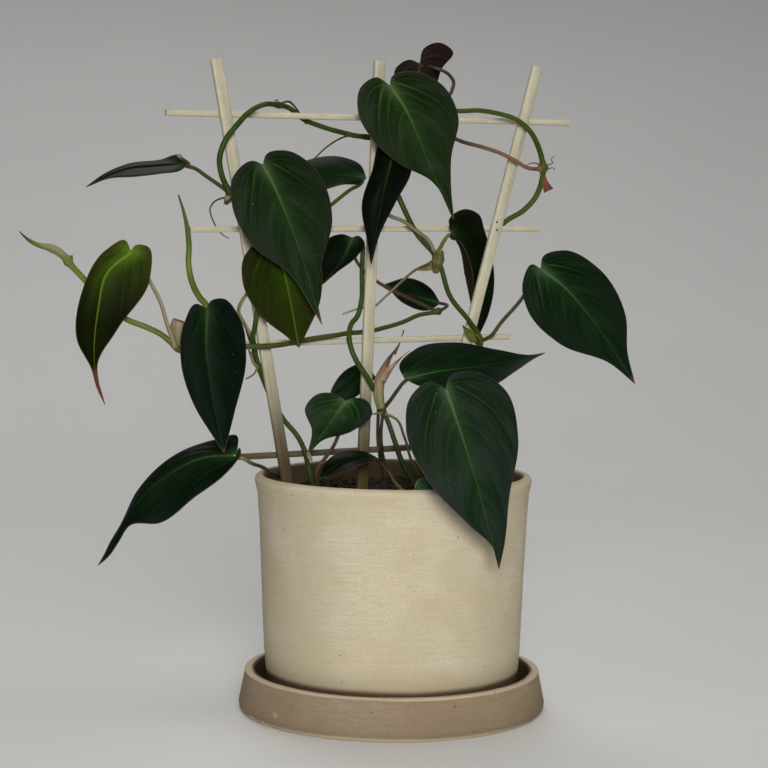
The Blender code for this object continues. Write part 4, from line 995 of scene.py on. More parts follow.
def make_velvet(name, deep, painted_quilt_sheen, fresh, vein, edge, margin, pale_base, faint):
    """The upper face of a velvety leaf: deep between its veins with painted shade and sheen, fresh beside
    its midrib.
    """
    paint = Paint(name, 0.5, 0.03)
    marks = blade_masks(paint.tree)
    station, across, from_midrib = marks.station, marks.across, marks.from_midrib
    patches, grain = paint.mottle(60.0, 2400.0)
    fine = streaks_out(marks, 900.0, 110.0, 3.0, 0.6)
    nap = streaks_out(marks, 85.0, 50.0, 4.0, 0.55)
    veining, tip_light, _ = parts(attribute(paint.tree, "veining_and_painted_light"), "Color")
    tone = attribute(paint.tree, "tone")
    red_from = attribute(paint.tree, "tone", "Alpha")
    half_tone_and_shade = blend(0.5, WHITE, tone)

    # Painted shade beside the veins, and a painted sheen on the raised quilt between them
    paint.start(rise(rise(nap, 0.34, 0.66) - marks.beside * 0.8, -0.2, 1.0), deep, painted_quilt_sheen)
    paint.lay(rise(across, 0.45, 1.0) * rise(patches, -0.6, 1.0) * 0.35, margin)
    paint.lay(rise(from_midrib, 0.0, 0.010, 0.75, 0.0) * rise(station, 0.10, 0.85, 1.0, 0.15), fresh)
    paint.lay(rise(fine, 0.45, 0.75, 0.0, 0.22), fresh)
    uneven = rise(station, 0.2, 0.75, 0.95, 0.30) * veining * rise(nap, 0.30, 0.60, 0.45, 1.0)
    paint.lay(marks.veins * uneven, blend(rise(across, 0.15, 0.75, 0.42, 0.10), fresh, vein))
    # A fine lighter grain, a painted velvet sparkle
    paint.lay(rise(grain, 0.5, 1.0, 0.0, 0.10), vein)
    # Painted light and shade: each leaf's tone, and its tip made lighter or darker
    paint.lay(1.0, tone, "MULTIPLY")
    paint.lay(1.0, rise(station, 0.0, 0.60, 1.0, tip_light), "MULTIPLY")

    glow = rise(from_midrib, 0.0, 0.0062, 0.80, 0.0) * rise(station, 0.16, 0.36, 1.0, 0.0)
    glow = glow * rise(veining, 0.1, 0.8, 0.3, 1.0)
    paint.lay(glow, blend(1.0, half_tone_and_shade, pale_base, "MULTIPLY"))
    rib = rise(station, 0.10, 0.62, 0.92, faint) * rise(veining, 0.1, 0.6, 0.65, 1.0)
    paint.lay(marks.midrib * rib, blend(1.0, half_tone_and_shade, vein, "MULTIPLY"))
    paint.lay(marks.edge * 0.65, blend(1.0, half_tone_and_shade, edge, "MULTIPLY"))
    paint.lay(rise(station, red_from, red_from + 0.05, 0.0, 0.85), RED_TIP)
    paint.speckle(520.0, 0.16, 0.20, rise(cloud(paint.place, 38.0), 0.53, 0.62) * 0.55, DUST)

    quilted = bump(nap, 0.35, 0.0006, bump(grain, 0.30, 0.00008))
    return paint.finish(Roughness=rise(grain, 0.0, 1.0, 0.42, 0.58),
                        Normal=bump(fine, 0.25, 0.00016, quilted))


def make_underside():
    """The wine-brown lower face, with raised paler veins."""
    paint = Paint("leaf_underside", 0.6, 0.06)
    marks = blade_masks(paint.tree)
    patches, grain = paint.mottle(55.0, 1300.0)
    paint.start(patches, (0.0090, 0.0052, 0.0040), (0.0165, 0.0080, 0.0060))
    paint.lay(rise(marks.from_midrib, 0.001, 0.010, 0.6, 0.0), (0.013, 0.012, 0.006))
    paint.lay(marks.veins * 0.6, (0.036, 0.020, 0.014))
    paint.lay(marks.midrib * 0.8, (0.070, 0.052, 0.025))
    return paint.finish(Normal=bump(grain * 0.3 + marks.veins, 0.5, 0.0002))


# Leaf blades


def half_blade(leaf, side):
    """Half a blade as rows of points from midrib to edge, with stations, shares across and sizes."""
    midrib = smooth(leaf.midrib, EDGE_STEPS)
    edge = smooth([leaf.midrib[0][:2], *getattr(leaf, side), leaf.midrib[-1][:2]], EDGE_STEPS)
    edge_length = run_lengths(edge)[-1] * PIXEL
    half_width = np.abs(edge[:, None] - midrib[None, :, :2]).sum(-1).min(1).max() * PIXEL
    rows = int(np.clip(edge_length / BLADE_MESH, *BLADE_ROWS))
    columns = int(np.clip(half_width / BLADE_MESH, *BLADE_COLUMNS))
    stations = np.linspace(0.0, 1.0, rows + 1) ** CLOSER_AT_BASE
    share = np.linspace(0.0, 1.0, columns + 1)[None, :]
    even = np.linspace(0.0, 1.0, EDGE_STEPS)
    feet = columns_at(np.maximum(0.0, (stations - LOBE_SHARE) / (1 - LOBE_SHARE)), even, midrib)
    ends = columns_at(stations, even, edge)
    lift = spread_over(stations, leaf.lifts[0] if side == "left" else leaf.lifts[1])
    swell = np.sin(np.pi * stations**0.75)
    flat = feet[:, None, :2] * (1 - share[..., None]) + ends[:, None, :] * share[..., None]
    bow = lift[:, None] * share**1.5 + leaf.cup * 4 * share * (1 - share)
    points = seen(flat[..., 0], flat[..., 1], feet[:, None, 2] + swell[:, None] * bow)
    station, share = np.broadcast_arrays(stations[:, None], share)
    steps = np.gradient(points, stations, axis=0)
    lengthwise = np.maximum(np.linalg.norm(steps, axis=-1), LEAST_SIZE)
    reach = np.linalg.norm(points[:, -1] - points[:, 0], axis=-1)[:, None] + np.zeros_like(station)
    reach = np.maximum(reach, LEAST_SIZE)
    return SimpleNamespace(points=points, station=station, across=share, lengthwise=lengthwise, reach=reach)


def side_veins_of(half):
    """How near each point lies to a side vein, from 0 to 1, as the side_vein group reckons it."""
    found = np.zeros_like(half.station)
    for start, end, bend, strength in SIDE_VEINS:
        line = start + (end - start) * half.across**bend
        slope = (end - start) * bend * half.across ** (bend - 1.0)
        away = np.abs(half.station - line) / np.hypot(1.0 / half.lengthwise, slope / half.reach)
        fade = 1.0 - np.clip((half.across - 0.62) / 0.35, 0.0, 1.0)
        found = np.maximum(found, strength * fade * np.exp(-((away / VEIN_WIDTH) ** 2)))
    return found


def relief_of(half):
    """How far each point of half a blade sinks at the veins and swells between them."""
    veins = side_veins_of(half)
    midrib = np.exp(-((half.across * half.reach / MIDRIB_WIDTH) ** 2)) * (1.0 - 0.7 * half.station)
    inside = np.clip(4.0 * half.across * (1.0 - half.across), 0.0, 1.0)
    calm = np.clip(half.reach / FULL_RELIEF, 0.0, 1.0)
    between = np.sin(np.pi * half.station**0.8) * inside
    return calm * (QUILT * between * (1.0 - veins) - VEIN_DEPTH * veins) - MIDRIB_DEPTH * midrib * calm


def add_half(shape, half, flipped):
    """Adds half a blade to a bmesh, with its UV maps and how far each vertex is pressed in."""
    blade_map, size_map = (shape.loops.layers.uv[name] for name in ("blade", "blade_size"))
    depth = shape.verts.layers.float["relief"]
    relief = relief_of(half)
    rows, columns = half.station.shape
    verts = [[shape.verts.new(half.points[r, c]) for c in range(columns)] for r in range(rows)]
    for r in range(rows):
        for c in range(columns):
            verts[r][c][depth] = relief[r, c]
    for r in range(rows - 1):
        for c in range(columns - 1):
            corners = [(r, c), (r + 1, c), (r + 1, c + 1), (r, c + 1)][:: -1 if flipped else 1]
            face = shape.faces.new([verts[i][j] for i, j in corners])
            for loop, spot in zip(face.loops, corners):
                loop[blade_map].uv = (half.station[spot], half.across[spot])
                loop[size_map].uv = (half.lengthwise[spot] * MAP_SCALE, half.reach[spot] * MAP_SCALE)


def build_leaf(name, leaf, finishes, underside):
    """A whole blade: two halves, welded, pressed in at the veins, then given its thickness."""
    shape = bmesh.new()
    for title in ("blade", "blade_size"):
        shape.loops.layers.uv.new(title)
    shape.verts.layers.float.new("relief")
    for side in ("left", "right"):
        add_half(shape, half_blade(leaf, side), side == "right")
    bmesh.ops.remove_doubles(shape, verts=shape.verts, dist=BLADE_WELD)
    shape.normal_update()
    towards = sum((f.normal * f.calc_area() for f in shape.faces), Vector())
    middle = sum((v.co for v in shape.verts), Vector()) / len(shape.verts)
    if (towards.dot(Vector(EYE) - middle) < 0.0) != leaf.turned_away:
        bmesh.ops.reverse_faces(shape, faces=shape.faces)
        shape.normal_update()
    depth = shape.verts.layers.float["relief"]
    normals = [v.normal.copy() for v in shape.verts]
    for vert, normal in zip(shape.verts, normals):
        vert.co += normal * vert[depth]
    obj = add_object(name + "_blade", mesh_of(shape, name), [finishes[leaf.finish], underside])
    modify(obj, "SOLIDIFY", thickness=BLADE_THICKNESS, offset=0.0, material_offset=1)
    settled(obj)
    count = len(obj.data.vertices)
    # Painted light and shade of the leaf: its tone, and how light its tip is
    paint_points(obj.data, "tone", "FLOAT_COLOR", [(*leaf.tone, leaf.red_from)] * count)
    paint_points(obj.data, "veining_and_painted_light", "FLOAT_COLOR", [(leaf.veining, leaf.tip_light, 0.0, 1.0)] * count)
    dress(obj, "leaf_olive_green" if leaf.finish == "leaf_velvet_olive" else "leaf_green", name)


def leaf_back(name):
    """Where a stalk runs into the back of its leaf."""
    leaf = LEAVES[name]
    base, further = seen(*np.array(leaf.midrib[:2]).T)
    halves = [half_blade(leaf, side).points for side in ("left", "right")]
    left, right = (half[len(half) // 4][-1] for half in halves)
    back = np.cross(further - base, right - left)
    back /= np.linalg.norm(back)
    if (back @ (base - EYE) < 0.0) != leaf.turned_away:
        back = -back
    along = (further - base) / np.linalg.norm(further - base)
    return base + back * STALK_BEHIND + along * STALK_ALONG


# Stems


def run_points(rows, foot=None, leaf=None):
    """Points along a run. It stands upright where it comes out of the soil."""
    points = [tuple(seen(*row)) for row in rows]
    if leaf:
        points.append(tuple(leaf_back(leaf)))
    if foot:
        points.insert(0, (*foot, SOIL_TOP + UPRIGHT_ABOVE_SOIL))
    knots = np.array(points)
    spread = smooth(knots, max(6, round(run_lengths(knots)[-1] / STEM_MESH)))
    if foot:
        return np.vstack([(*foot, SOIL_TOP - ROOTED), spread])
    return spread


def frames_along(points):
    """Unit vectors along a path and two across it that never twist."""
    ways = ways_along(points)
    side = np.cross(ways[0], (0.31, 0.52, 0.79))
    sides = []
    for way in ways:
        side = side - way * (side @ way)
        side = side / np.linalg.norm(side)
        sides.append(side)
    sides = np.array(sides)
    return ways, sides, np.cross(ways, sides)


def tube(name, points, radii):
    """A closed tube, rounded off at both ends."""
    ways, sides, lifts = frames_along(points)
    turns = np.linspace(0.0, 2 * np.pi, STEM_SIDES, endpoint=False)
    around = np.cos(turns)[:, None] * sides[:, None, :] + np.sin(turns)[:, None] * lifts[:, None, :]
    rings = points[:, None, :] + around * radii[:, None, None]
    first = points[0] + (around[0] * END_WIDTH - ways[0] * END_LENGTH) * radii[0]
    last = points[-1] + (around[-1] * END_WIDTH + ways[-1] * END_LENGTH) * radii[-1]
    shape = bmesh.new()
    verts = [[shape.verts.new(p) for p in ring] for ring in (first, *rings, last)]
    return add_object(name, loft(name, shape, verts, capped=True))


def tint_along(tints, share):
    """Colours that pass evenly through the named tints along a run."""
    colours = np.array([TINTS[tint] for tint in tints.split()])
    return columns_at(share, np.linspace(0.0, 1.0, len(colours)), colours)


def stem_lines(runs):
    """Each run's points, radii in metres with swollen knots, and colours."""
    lines = []
    starts = [seen(*run.points[0]) for run in runs[1:]]
    for run in runs:
        points = run_points(run.points, run.foot, run.leaf)
        share = np.linspace(0.0, 1.0, len(points))
        radii = spread_over(share, run.radii) * MM
        for start in starts:
            away = np.linalg.norm(points - start, axis=1)
            radii = radii * (1.0 + KNOT_SWELL * np.exp(-((away / KNOT_REACH) ** 2)))
        lines.append((points, radii, tint_along(run.tints, share)))
    return lines


def paint_along(mesh, lines):
    """Gives each point the colour of the run whose skin it lies on, and a place along its fibres."""
    samples = [(*sample, place) for line in lines for place, sample in enumerate(zip(*line))]
    tree = kdtree.KDTree(len(samples))
    for number, sample in enumerate(samples):
        tree.insert(sample[0], number)
    tree.balance()
    tints, places = [], []
    for vert in mesh.vertices:
        near = tree.find_n(vert.co, NEAR_SAMPLES)
        _, best, _ = min(near, key=lambda found: abs(found[2] - samples[found[1]][1]))
        point, radius, colour, place = samples[best]
        off = (np.array(vert.co) - point) / max(radius, 1e-5)
        tints.append((*colour, 1.0))
        places.append((*(off[:2] + best // FIBRE_SAMPLES), off[2] * 0.3 + place * 0.02))
    paint_points(mesh, "tint", "FLOAT_COLOR", tints)
    paint_points(mesh, "grain_place", "FLOAT_VECTOR", places)


def build_stem(name, runs, finish):
    """One closed body of all the runs of a stem."""
    lines = stem_lines(runs)
    tubes = [tube(f"{name}_run_{k}", points, radii) for k, (points, radii, _) in enumerate(lines)]
    body = add_object(name + "_skin", tubes[0].data.copy(), [finish])
    if len(tubes) > 1:
        others = bpy.data.collections.new(name + "_runs")
        for other in tubes[1:]:
            others.objects.link(other)
        modify(body, "BOOLEAN", operation="UNION", operand_type="COLLECTION", collection=others,
               solver="MANIFOLD")
        settled(body)
        bpy.data.collections.remove(others)
    for part in tubes:
        bpy.data.objects.remove(part)
    body.data.shade_smooth()
    paint_along(body.data, lines)
    dress(body, "stem_green", name)


def build_sheath(name, sheath, finish):
    """A rolled scale round a knot, which opens towards its tip."""
    points = run_points(sheath.points)
    share = np.linspace(0.0, 1.0, len(points))
    radii = spread_over(share, sheath.radii) * MM
    wraps = np.radians(spread_over(share, sheath.wraps))
    ways = ways_along(points)
    opening = np.array(SHEATH_BACKS[sheath.opens])
    back = opening - ways * (ways @ opening)[:, None]
    back /= np.linalg.norm(back, axis=1)[:, None]
    side = np.cross(ways, back)
    shape = bmesh.new()
    rows = []
    for k, point in enumerate(points):
        row = []
        for turn in np.linspace(-wraps[k], wraps[k], SHEATH_STEPS):
            flare = 1.0 + SHEATH_FLARE * (turn / np.pi) ** 2
            offset = (back[k] * math.cos(turn) + side[k] * math.sin(turn)) * radii[k] * flare
            row.append(shape.verts.new(point + offset))
        rows.append(row)
    obj = add_object(name, loft(name, shape, rows, around=False), [finish])
    modify(obj, "SOLIDIFY", thickness=SHEATH_THICKNESS, offset=0.0)
    modify(obj, "SUBSURF", levels=1, render_levels=1)
    settled(obj)
    paint_along(obj.data, [(points, radii, tint_along(sheath.tints, share))])
    dress(obj, "stem_green")


def make_stem_finish(name, roughness, specular, fine, dry):
    """Skin of stems, stalks, roots and sheaths: its own colours, streaked lengthwise."""
    paint = Paint(name, roughness, specular)
    tint = attribute(paint.tree, "tint")
    along = attribute(paint.tree, "grain_place", "Vector")
    streaks, threads = use(FIBRES, Place=along, Fineness=fine, Stretch=0.35)
    patches, grain = paint.mottle(120.0, 1800.0)
    paint.start(rise(streaks, 0.35, 0.65), blend(1.0, tint, (0.62, 0.60, 0.55), "MULTIPLY"), tint)
    paint.lay(patches * dry, blend(0.35, tint, (0.50, 0.46, 0.30), "SCREEN"))
    paint.speckle(700.0, 0.10, 0.28, 0.35, (0.30, 0.26, 0.14))
    return paint.finish(Normal=bump(grain * 0.3 + threads, 0.35, 0.00012))


# Trellis


def stick(name, start, end, width, depth, seed):
    """A sawn stick with eased edges, its broad side facing the trellis's front."""
    run = end - start
    length = np.linalg.norm(run)
    side = np.cross(FRONT, run / length)
    x, y, ease = width / 2, depth / 2, STICK_EASE * depth
    right = [(x, y - ease), (x - 0.45 * ease, y - 0.55 * ease), (x - ease, y)]
    left = [(-a, b) for a, b in reversed(right)]
    outline = [(x, 0.0), *right, (x - y, y), *left, (-x, 0.0)]
    outline += [*((-a, -b) for a, b in right), (x - y, -y), *((-a, -b) for a, b in left)]
    shape = bmesh.new()
    grain_place = shape.verts.layers.float_vector.new("grain_place")
    rings = []
    for t in np.linspace(0.0, 1.0, max(8, round(length / STICK_STEP))):
        ring = []
        for x, y in outline:
            trim = 1.0 - STICK_WEAR * (1.0 + noise.noise(Vector((x * 180 + seed, y * 180, t * 30))))
            vert = shape.verts.new(start + run * t + side * x * trim + FRONT * y * trim)
            vert[grain_place] = (x + seed, y, length * t)
            ring.append(vert)
        rings.append(ring)
    mesh = loft(name, shape, rings, capped=True)
    mesh.set_sharp_from_angle(angle=STICK_CREASE)
    return mesh


def build_trellis(finish):
    behind = -FRONT * (STICK_DEPTH / 2 + BAR_GAP + BAR_DEPTH / 2)
    sticks = {}
    for number, (name, upright) in enumerate(UPRIGHTS.items()):
        foot = TRELLIS_FOOT + ALONG * upright["foot"]
        top = TRELLIS_FOOT + ALONG * upright["top"] + RISE * upright["height"]
        foot = foot - (top - foot) / np.linalg.norm(top - foot) * STICK_IN_SOIL
        sticks[name] = foot, top, STICK_WIDTH, STICK_DEPTH, 1.7 * number
    for number, (name, bar) in enumerate(CROSSBARS.items()):
        level = TRELLIS_FOOT + RISE * bar["height"] + behind
        ends = (level + ALONG * bar[end] for end in ("left", "right"))
        sticks[name] = *ends, BAR_HEIGHT, BAR_DEPTH, 9.1 + 1.3 * number
    for name, sizes in sticks.items():
        mesh = stick(name + "_wood", *sizes)
        dress(add_object(name + "_wood", mesh, [finish]), "trellis_wood", name)


def build_pins(finish):
    """Heads of the two fine pins that hold the right upright to the second crossbar."""
    shape = bmesh.new()
    turn = Vector((0.0, 0.0, 1.0)).rotation_difference(Vector(FRONT)).to_matrix().to_4x4()
    for across, down in PINS:
        spot = Matrix.Translation(Vector(seen(across, down, STICK_DEPTH / 2 / MM)))
        bmesh.ops.create_uvsphere(shape, u_segments=16, v_segments=8, radius=PIN_RADIUS,
                                  matrix=spot @ turn @ Matrix.Diagonal((1.0, 1.0, PIN_FLATNESS, 1.0)))
    dress(add_object("pins", mesh_of(shape, "pins"), [finish]), "trellis_wood")


def make_wood_finish():
    """Pale sawn softwood, dark brown towards the soil, partly a damp stain and partly painted shade."""
    paint = Paint("sawn_wood", 0.7, 0.2)
    along = attribute(paint.tree, "grain_place", "Vector")
    streaks, threads = use(FIBRES, Place=along, Fineness=1300.0, Stretch=0.04)
    broad, _ = use(FIBRES, Place=along, Fineness=420.0, Stretch=0.05)
    patches, grain = paint.mottle(110.0, 2400.0)
    paint.start(rise(broad, 0.36, 0.66), (0.520, 0.490, 0.368), (0.450, 0.415, 0.295))
    paint.lay(rise(streaks, 0.46, 0.70, 0.0, 0.60), (0.34, 0.285, 0.18))
    paint.lay(rise(patches, 0.0, 1.0, 0.0, 0.30), (0.62, 0.59, 0.47))
    paint.lay(rise(grain, 0.55, 1.0, 0.0, 0.22), (0.40, 0.35, 0.24))
    ragged = broad * 0.04 + parts(paint.place)[2]
    # Dark brown towards the soil, partly damp stain and partly painted shade
    paint.lay(rise(ragged, *DAMP_AND_SHADED_WOOD, 0.97, 0.0), (0.056, 0.038, 0.0125))
    paint.speckle(520.0, 0.07, 0.17, 0.55, (0.22, 0.16, 0.09))
    return paint.finish(Roughness=rise(threads, 0.2, 0.8, 0.6, 0.8),
                        Normal=bump(threads * 0.6 + streaks, 0.6, 0.00018))


def make_pin_finish():
    paint = Paint("pin_steel", 0.45, 0.5)
    rust, grain = paint.mottle(1500.0, 6000.0)
    paint.start(rust, (0.16, 0.14, 0.12), (0.09, 0.05, 0.03))
    return paint.finish(Metallic=rise(grain, 0.0, 1.0, 0.7, 0.3))


# Pottery


def arc(center, radius, start, end, count):
    """Profile points on an arc, with angles in degrees from +X."""
    angles = np.radians(np.linspace(start, end, count))
    return [(center[0] + radius * math.cos(a), center[1] + radius * math.sin(a)) for a in angles]


def wall(start, end, count):
    """Profile points from one end towards another, without the last."""
    shares = np.linspace(0.0, 1.0, count, endpoint=False)
    return [(start[0] + (end[0] - start[0]) * t, start[1] + (end[1] - start[1]) * t) for t in shares]


def turned(name, profile):
    """A shape turned about Z from a profile of (radius, height) points."""
    shape = bmesh.new()
    turns = np.linspace(0.0, 2 * np.pi, TURN_STEPS, endpoint=False)
    around = [(math.cos(turn), math.sin(turn)) for turn in turns]
    rings = []
    for radius, height in profile:
        if radius == 0.0:
            rings.append([shape.verts.new((0.0, 0.0, height))] * TURN_STEPS)
        else:
            rings.append([shape.verts.new((radius * x, radius * y, height)) for x, y in around])
    if profile[0][0] > 0.0:
        rings.append(rings[0])
    return loft(name, shape, rings)


def make_thrown():
    """Geometry nodes that give a turned wall its throwing rings and the hand's unevenness."""
    inputs = {"Geometry": "Geometry", "Ring Depth": "Float", "Rings per Metre": "Float",
              "Unevenness": "Float", "Finish": "Material"}
    tree, given, made = group("thrown_clay", "GeometryNodeTree", inputs, {"Geometry": "Geometry"})
    geometry, ring_depth, rings_per_metre, unevenness, finish = given
    place = node(tree, "GeometryNodeInputPosition", {})
    x, _, z = parts(place)
    rings = node(tree, "ShaderNodeTexNoise", {
        "Vector": joined(z=x * 0.06 + z), "Scale": rings_per_metre, "Detail": 2.0})
    uneven = node(tree, "ShaderNodeTexNoise", {"Vector": place, "Scale": 22.0, "Detail": 1.0})
    push = (rings - 0.5) * ring_depth + (uneven - 0.55) * unevenness
    outwards = vector("NORMALIZE", vector("MULTIPLY", place, (1.0, 1.0, 0.0)))
    moved = node(tree, "GeometryNodeSetPosition", {
        "Geometry": geometry, "Offset": vector("SCALE", outwards, scale=push)})
    put(made[0], closing_nodes(moved, finish))
    return tree


def closing_nodes(geometry, finish):
    """Real geometry with its finish on, as every geometry tree ends."""
    real = node(geometry.tree, "GeometryNodeRealizeInstances", {0: geometry})
    return node(geometry.tree, "GeometryNodeSetMaterial", {"Geometry": real, "Material": finish})


def build_pot(thrown, finish):
    lip = POT_WALL / 2
    rim = (POT_RIM_RADIUS - lip, POT_TOP - lip)
    inner_floor = POT_BOTTOM + POT_FLOOR
    inner_rim = POT_RIM_RADIUS - POT_WALL
    inner_foot = POT_FOOT_RADIUS - POT_WALL - 0.0004
    neck = (POT_RIM_RADIUS - 0.0014, POT_TOP - 0.0095)
    shoulder = (POT_RIM_RADIUS - 0.0024, POT_TOP - 0.024)
    heel = (POT_FOOT_RADIUS + 0.0018, POT_BOTTOM + 0.030)
    groove = (neck[0] - 0.00012, neck[1] - 0.0006)
    profile = [
        *arc(rim, lip, 115, 0, 12),
        *wall((POT_RIM_RADIUS - 0.0001, rim[1] - 0.001), neck, 8),
        neck,
        groove,
        (neck[0] - 0.00004, groove[1] - 0.0008),
        *wall((neck[0] - 0.0001, neck[1] - 0.002), shoulder, 12),
        *wall(shoulder, heel, 48),
        *wall(heel, (POT_FOOT_RADIUS, POT_BOTTOM + 0.004), 20),
        *arc((POT_FOOT_RADIUS - 0.003, POT_BOTTOM + 0.003), 0.003, 0, -90, 6),
        *wall((POT_FOOT_RADIUS - 0.006, POT_BOTTOM), (DRAIN_RADIUS, POT_BOTTOM), 6),
        (DRAIN_RADIUS, POT_BOTTOM),
        (DRAIN_RADIUS, inner_floor),
        *wall((DRAIN_RADIUS + 0.002, inner_floor), (inner_foot - 0.004, inner_floor), 6),
        *arc((inner_foot - 0.004, inner_floor + 0.004), 0.004, -90, 0, 6),
        *wall((inner_foot, inner_floor + 0.005), (inner_rim - 0.0002, POT_TOP - 0.006), 36),
        *arc(rim, lip, 180, 125, 6),
    ]
    obj = add_object("pot_body", turned("pot_body", profile))
    run_nodes(obj, thrown, **POT_THROWN, Finish=finish)
    dress(obj, "pot_clay", "pot")


def saucer_spot(across, down):
    """Where the line of sight through a pixel meets the saucer's outer wall."""
    sight = np.array(VIEW) @ np.array((across - PICTURE_MIDDLE, LENS, PICTURE_MIDDLE - down))
    a = sight[:2] @ sight[:2]
    b = 2 * (EYE[:2] @ sight[:2])
    c = EYE[:2] @ EYE[:2] - SAUCER_RADIUS**2
    reach = (-b - math.sqrt(max(0.0, b * b - 4 * a * c))) / (2 * a)
    return Vector(EYE + sight * reach)


def chip(obj):
    """Knocks shallow chips out of the saucer's wall. Chipped is how far out in its chip a point lies."""
    shape = bmesh.new()
    shape.from_mesh(obj.data)
    chipped = shape.verts.layers.float.new("chipped")
    for across, down, size in CHIPS:
        spot = saucer_spot(across, down)
        reach = size + CHIP_MARGIN
        close = [edge for edge in shape.edges if all((v.co - spot).length < reach for v in edge.verts)]
        bmesh.ops.subdivide_edges(shape, edges=close, cuts=CHIP_CUTS, use_grid_fill=True)
        for vert in shape.verts:
            ragged = 1.0 + CHIP_RAGGED * noise.noise(vert.co * CHIP_FINENESS)
            away = (vert.co - spot).length / size * ragged
            if away < 1.0:
                inwards = Vector((-vert.co.x, -vert.co.y, 0.0)).normalized()
                vert.co += inwards * size * CHIP_DEPTH * (1.0 - away**2)
                vert[chipped] = away
    shape.to_mesh(obj.data)
    shape.free()


def build_saucer(thrown, finish):
    inner = SAUCER_RIM_RADIUS - SAUCER_WALL
    ease = 0.0012
    crest = SAUCER_HEIGHT - ease
    shoulder = SAUCER_RIM_RADIUS - ease
    profile = [
        (0.0, SAUCER_FLOOR),
        *wall((0.004, SAUCER_FLOOR), (inner - 0.004, SAUCER_FLOOR), 24),
        *arc((inner - 0.0035, SAUCER_FLOOR + 0.003), 0.003, -90, 0, 6),
        *wall((inner - 0.0003, SAUCER_FLOOR + 0.0035), (inner, crest - 0.0008), 10),
        *arc((inner + ease, crest), ease, 180, 90, 6),
        *wall((inner + ease + 0.0004, SAUCER_HEIGHT), (shoulder - 0.0002, SAUCER_HEIGHT), 4),
        *arc((shoulder, crest), ease, 90, 0, 6),
        *wall((SAUCER_RIM_RADIUS, crest - 0.0008), (SAUCER_RADIUS, 0.0045), 26),
        *wall((SAUCER_RADIUS, 0.0045), (SAUCER_RADIUS - 0.0004, 0.0018), 5),
        *wall((SAUCER_RADIUS - 0.0004, 0.0018), (SAUCER_RADIUS - 0.002, 0.0), 4),
        *wall((SAUCER_RADIUS - 0.002, 0.0), (0.004, 0.0), 16),
        (0.0, 0.0),
    ]
    obj = add_object("saucer_body", turned("saucer_body", profile))
    run_nodes(obj, thrown, **SAUCER_THROWN, Finish=finish)
    chip(obj)
    dress(obj, "saucer_clay", "saucer")


def make_clay_finish(name, pale, warm, stain_and_shade, worn_and_highlight, damp_and_shade, foot, inside, painted_edge_highlights):
    """Unglazed thrown clay: fine turned lines, iron specks, pinholes, painted highlights along the
    edges, and dark brown low down and inside, partly where it stays wet and partly painted shade.

    Inside is the radius of the dark inner wall at the floor, partly damp and partly painted shade,
    and how much it grows per metre of height. Foot gives the heights where the dark band at the foot
    ends and where the brown above it does; the band is partly damp and partly painted shade, the
    brown partly painted shade from the saucer.
    """
    paint = Paint(name, 0.8, 0.2)
    rings = cloud(stretched(paint.place, 70.0, 70.0, 800.0), 1.0, 4.0, 0.65)
    drifts = cloud(stretched(paint.place, 16.0, 16.0, 48.0), 1.0, 4.0)
    patches, grain = paint.mottle(32.0, 1500.0)
    paint.start(rise(drifts, 0.3, 0.7), pale, warm)
    paint.lay(rise(rings, 0.38, 0.72, 0.0, 0.34), stain_and_shade)
    paint.lay(rise(patches, 0.0, 1.0, 0.0, 0.32), stain_and_shade)
    paint.lay(rise(grain, 0.35, 1.0, 0.0, 0.62), stain_and_shade)
    x, y, height = parts(paint.place)
    rub = drifts * 0.0016 + height
    # Brown towards the foot, partly painted shade from the saucer
    paint.lay(rise(rub, *foot, 0.80, 0.0), stain_and_shade)
    # Painted highlights along the rims and edges
    for low, high in painted_edge_highlights:
        paint.lay(rise(rub, low, high, 0.0, 0.85), worn_and_highlight)
    paint.lay(attribute(paint.tree, "chipped", "Fac") * 0.45, worn_and_highlight)
    # Dark band at the foot, partly damp and partly painted shade
    paint.lay(rise(rub, foot[0], foot[0] + 0.0032, 0.95, 0.0), damp_and_shade)
    # Dark inner wall, partly damp and partly painted shade
    radius, widening = inside
    within = patches * 0.0010 + (calc("SQRT", x * x + y * y) - height * widening)
    paint.lay(rise(within, radius, radius + 0.0020, 0.92, 0.0), damp_and_shade)
    iron = paint.speckle(190.0, 0.34, 0.100, 0.85, IRON)
    pinholes = paint.speckle(520.0, 0.12, 0.20, 0.45, PINHOLE)
    holes = bump(1.0 - calc("MAXIMUM", iron, pinholes), 0.4, 0.00015, bump(rings, 0.40, 0.00018))
    return paint.finish(Roughness=rise(grain, 0.0, 1.0, 0.74, 0.88),
                        Normal=bump(grain, 0.30, 0.00008, holes))


# Soil


def build_soil(finish):
    """Potting mix that fills the pot, its top rising and falling a little."""
    top_radius = POT_RIM_RADIUS - POT_WALL - 0.0010
    bottom = POT_BOTTOM + POT_FLOOR + 0.0004
    bottom_radius = POT_FOOT_RADIUS - POT_WALL - 0.0016
    profile = [
        (0.0, SOIL_TOP),
        *wall((0.0016, SOIL_TOP), (top_radius, SOIL_TOP), 42),
        *wall((top_radius, SOIL_TOP - 0.0006), (bottom_radius, bottom + 0.006), 10),
        *wall((bottom_radius, bottom + 0.006), (bottom_radius - 0.006, bottom), 3),
        *wall((bottom_radius - 0.006, bottom), (0.004, bottom), 5),
        (0.0, bottom),
    ]
    mesh = turned("soil_body", profile)
    for vert in mesh.vertices:
        if vert.co.z > SOIL_TOP - 0.0001:
            place = Vector((vert.co.x, vert.co.y, 0.0))
            lump = noise.noise(place * 90.0) + 0.6 * noise.noise(place * 210.0)
            crumb = 0.55 * noise.noise(place * 520.0) + 0.35 * noise.noise(place * 1100.0)
            vert.co.z += SOIL_LUMP * (lump + crumb) * min(1.0, (top_radius - place.length) / 0.004)
    obj = add_object("soil_body", mesh, [finish])
    dress(obj, "potting_soil", "soil")
    return obj


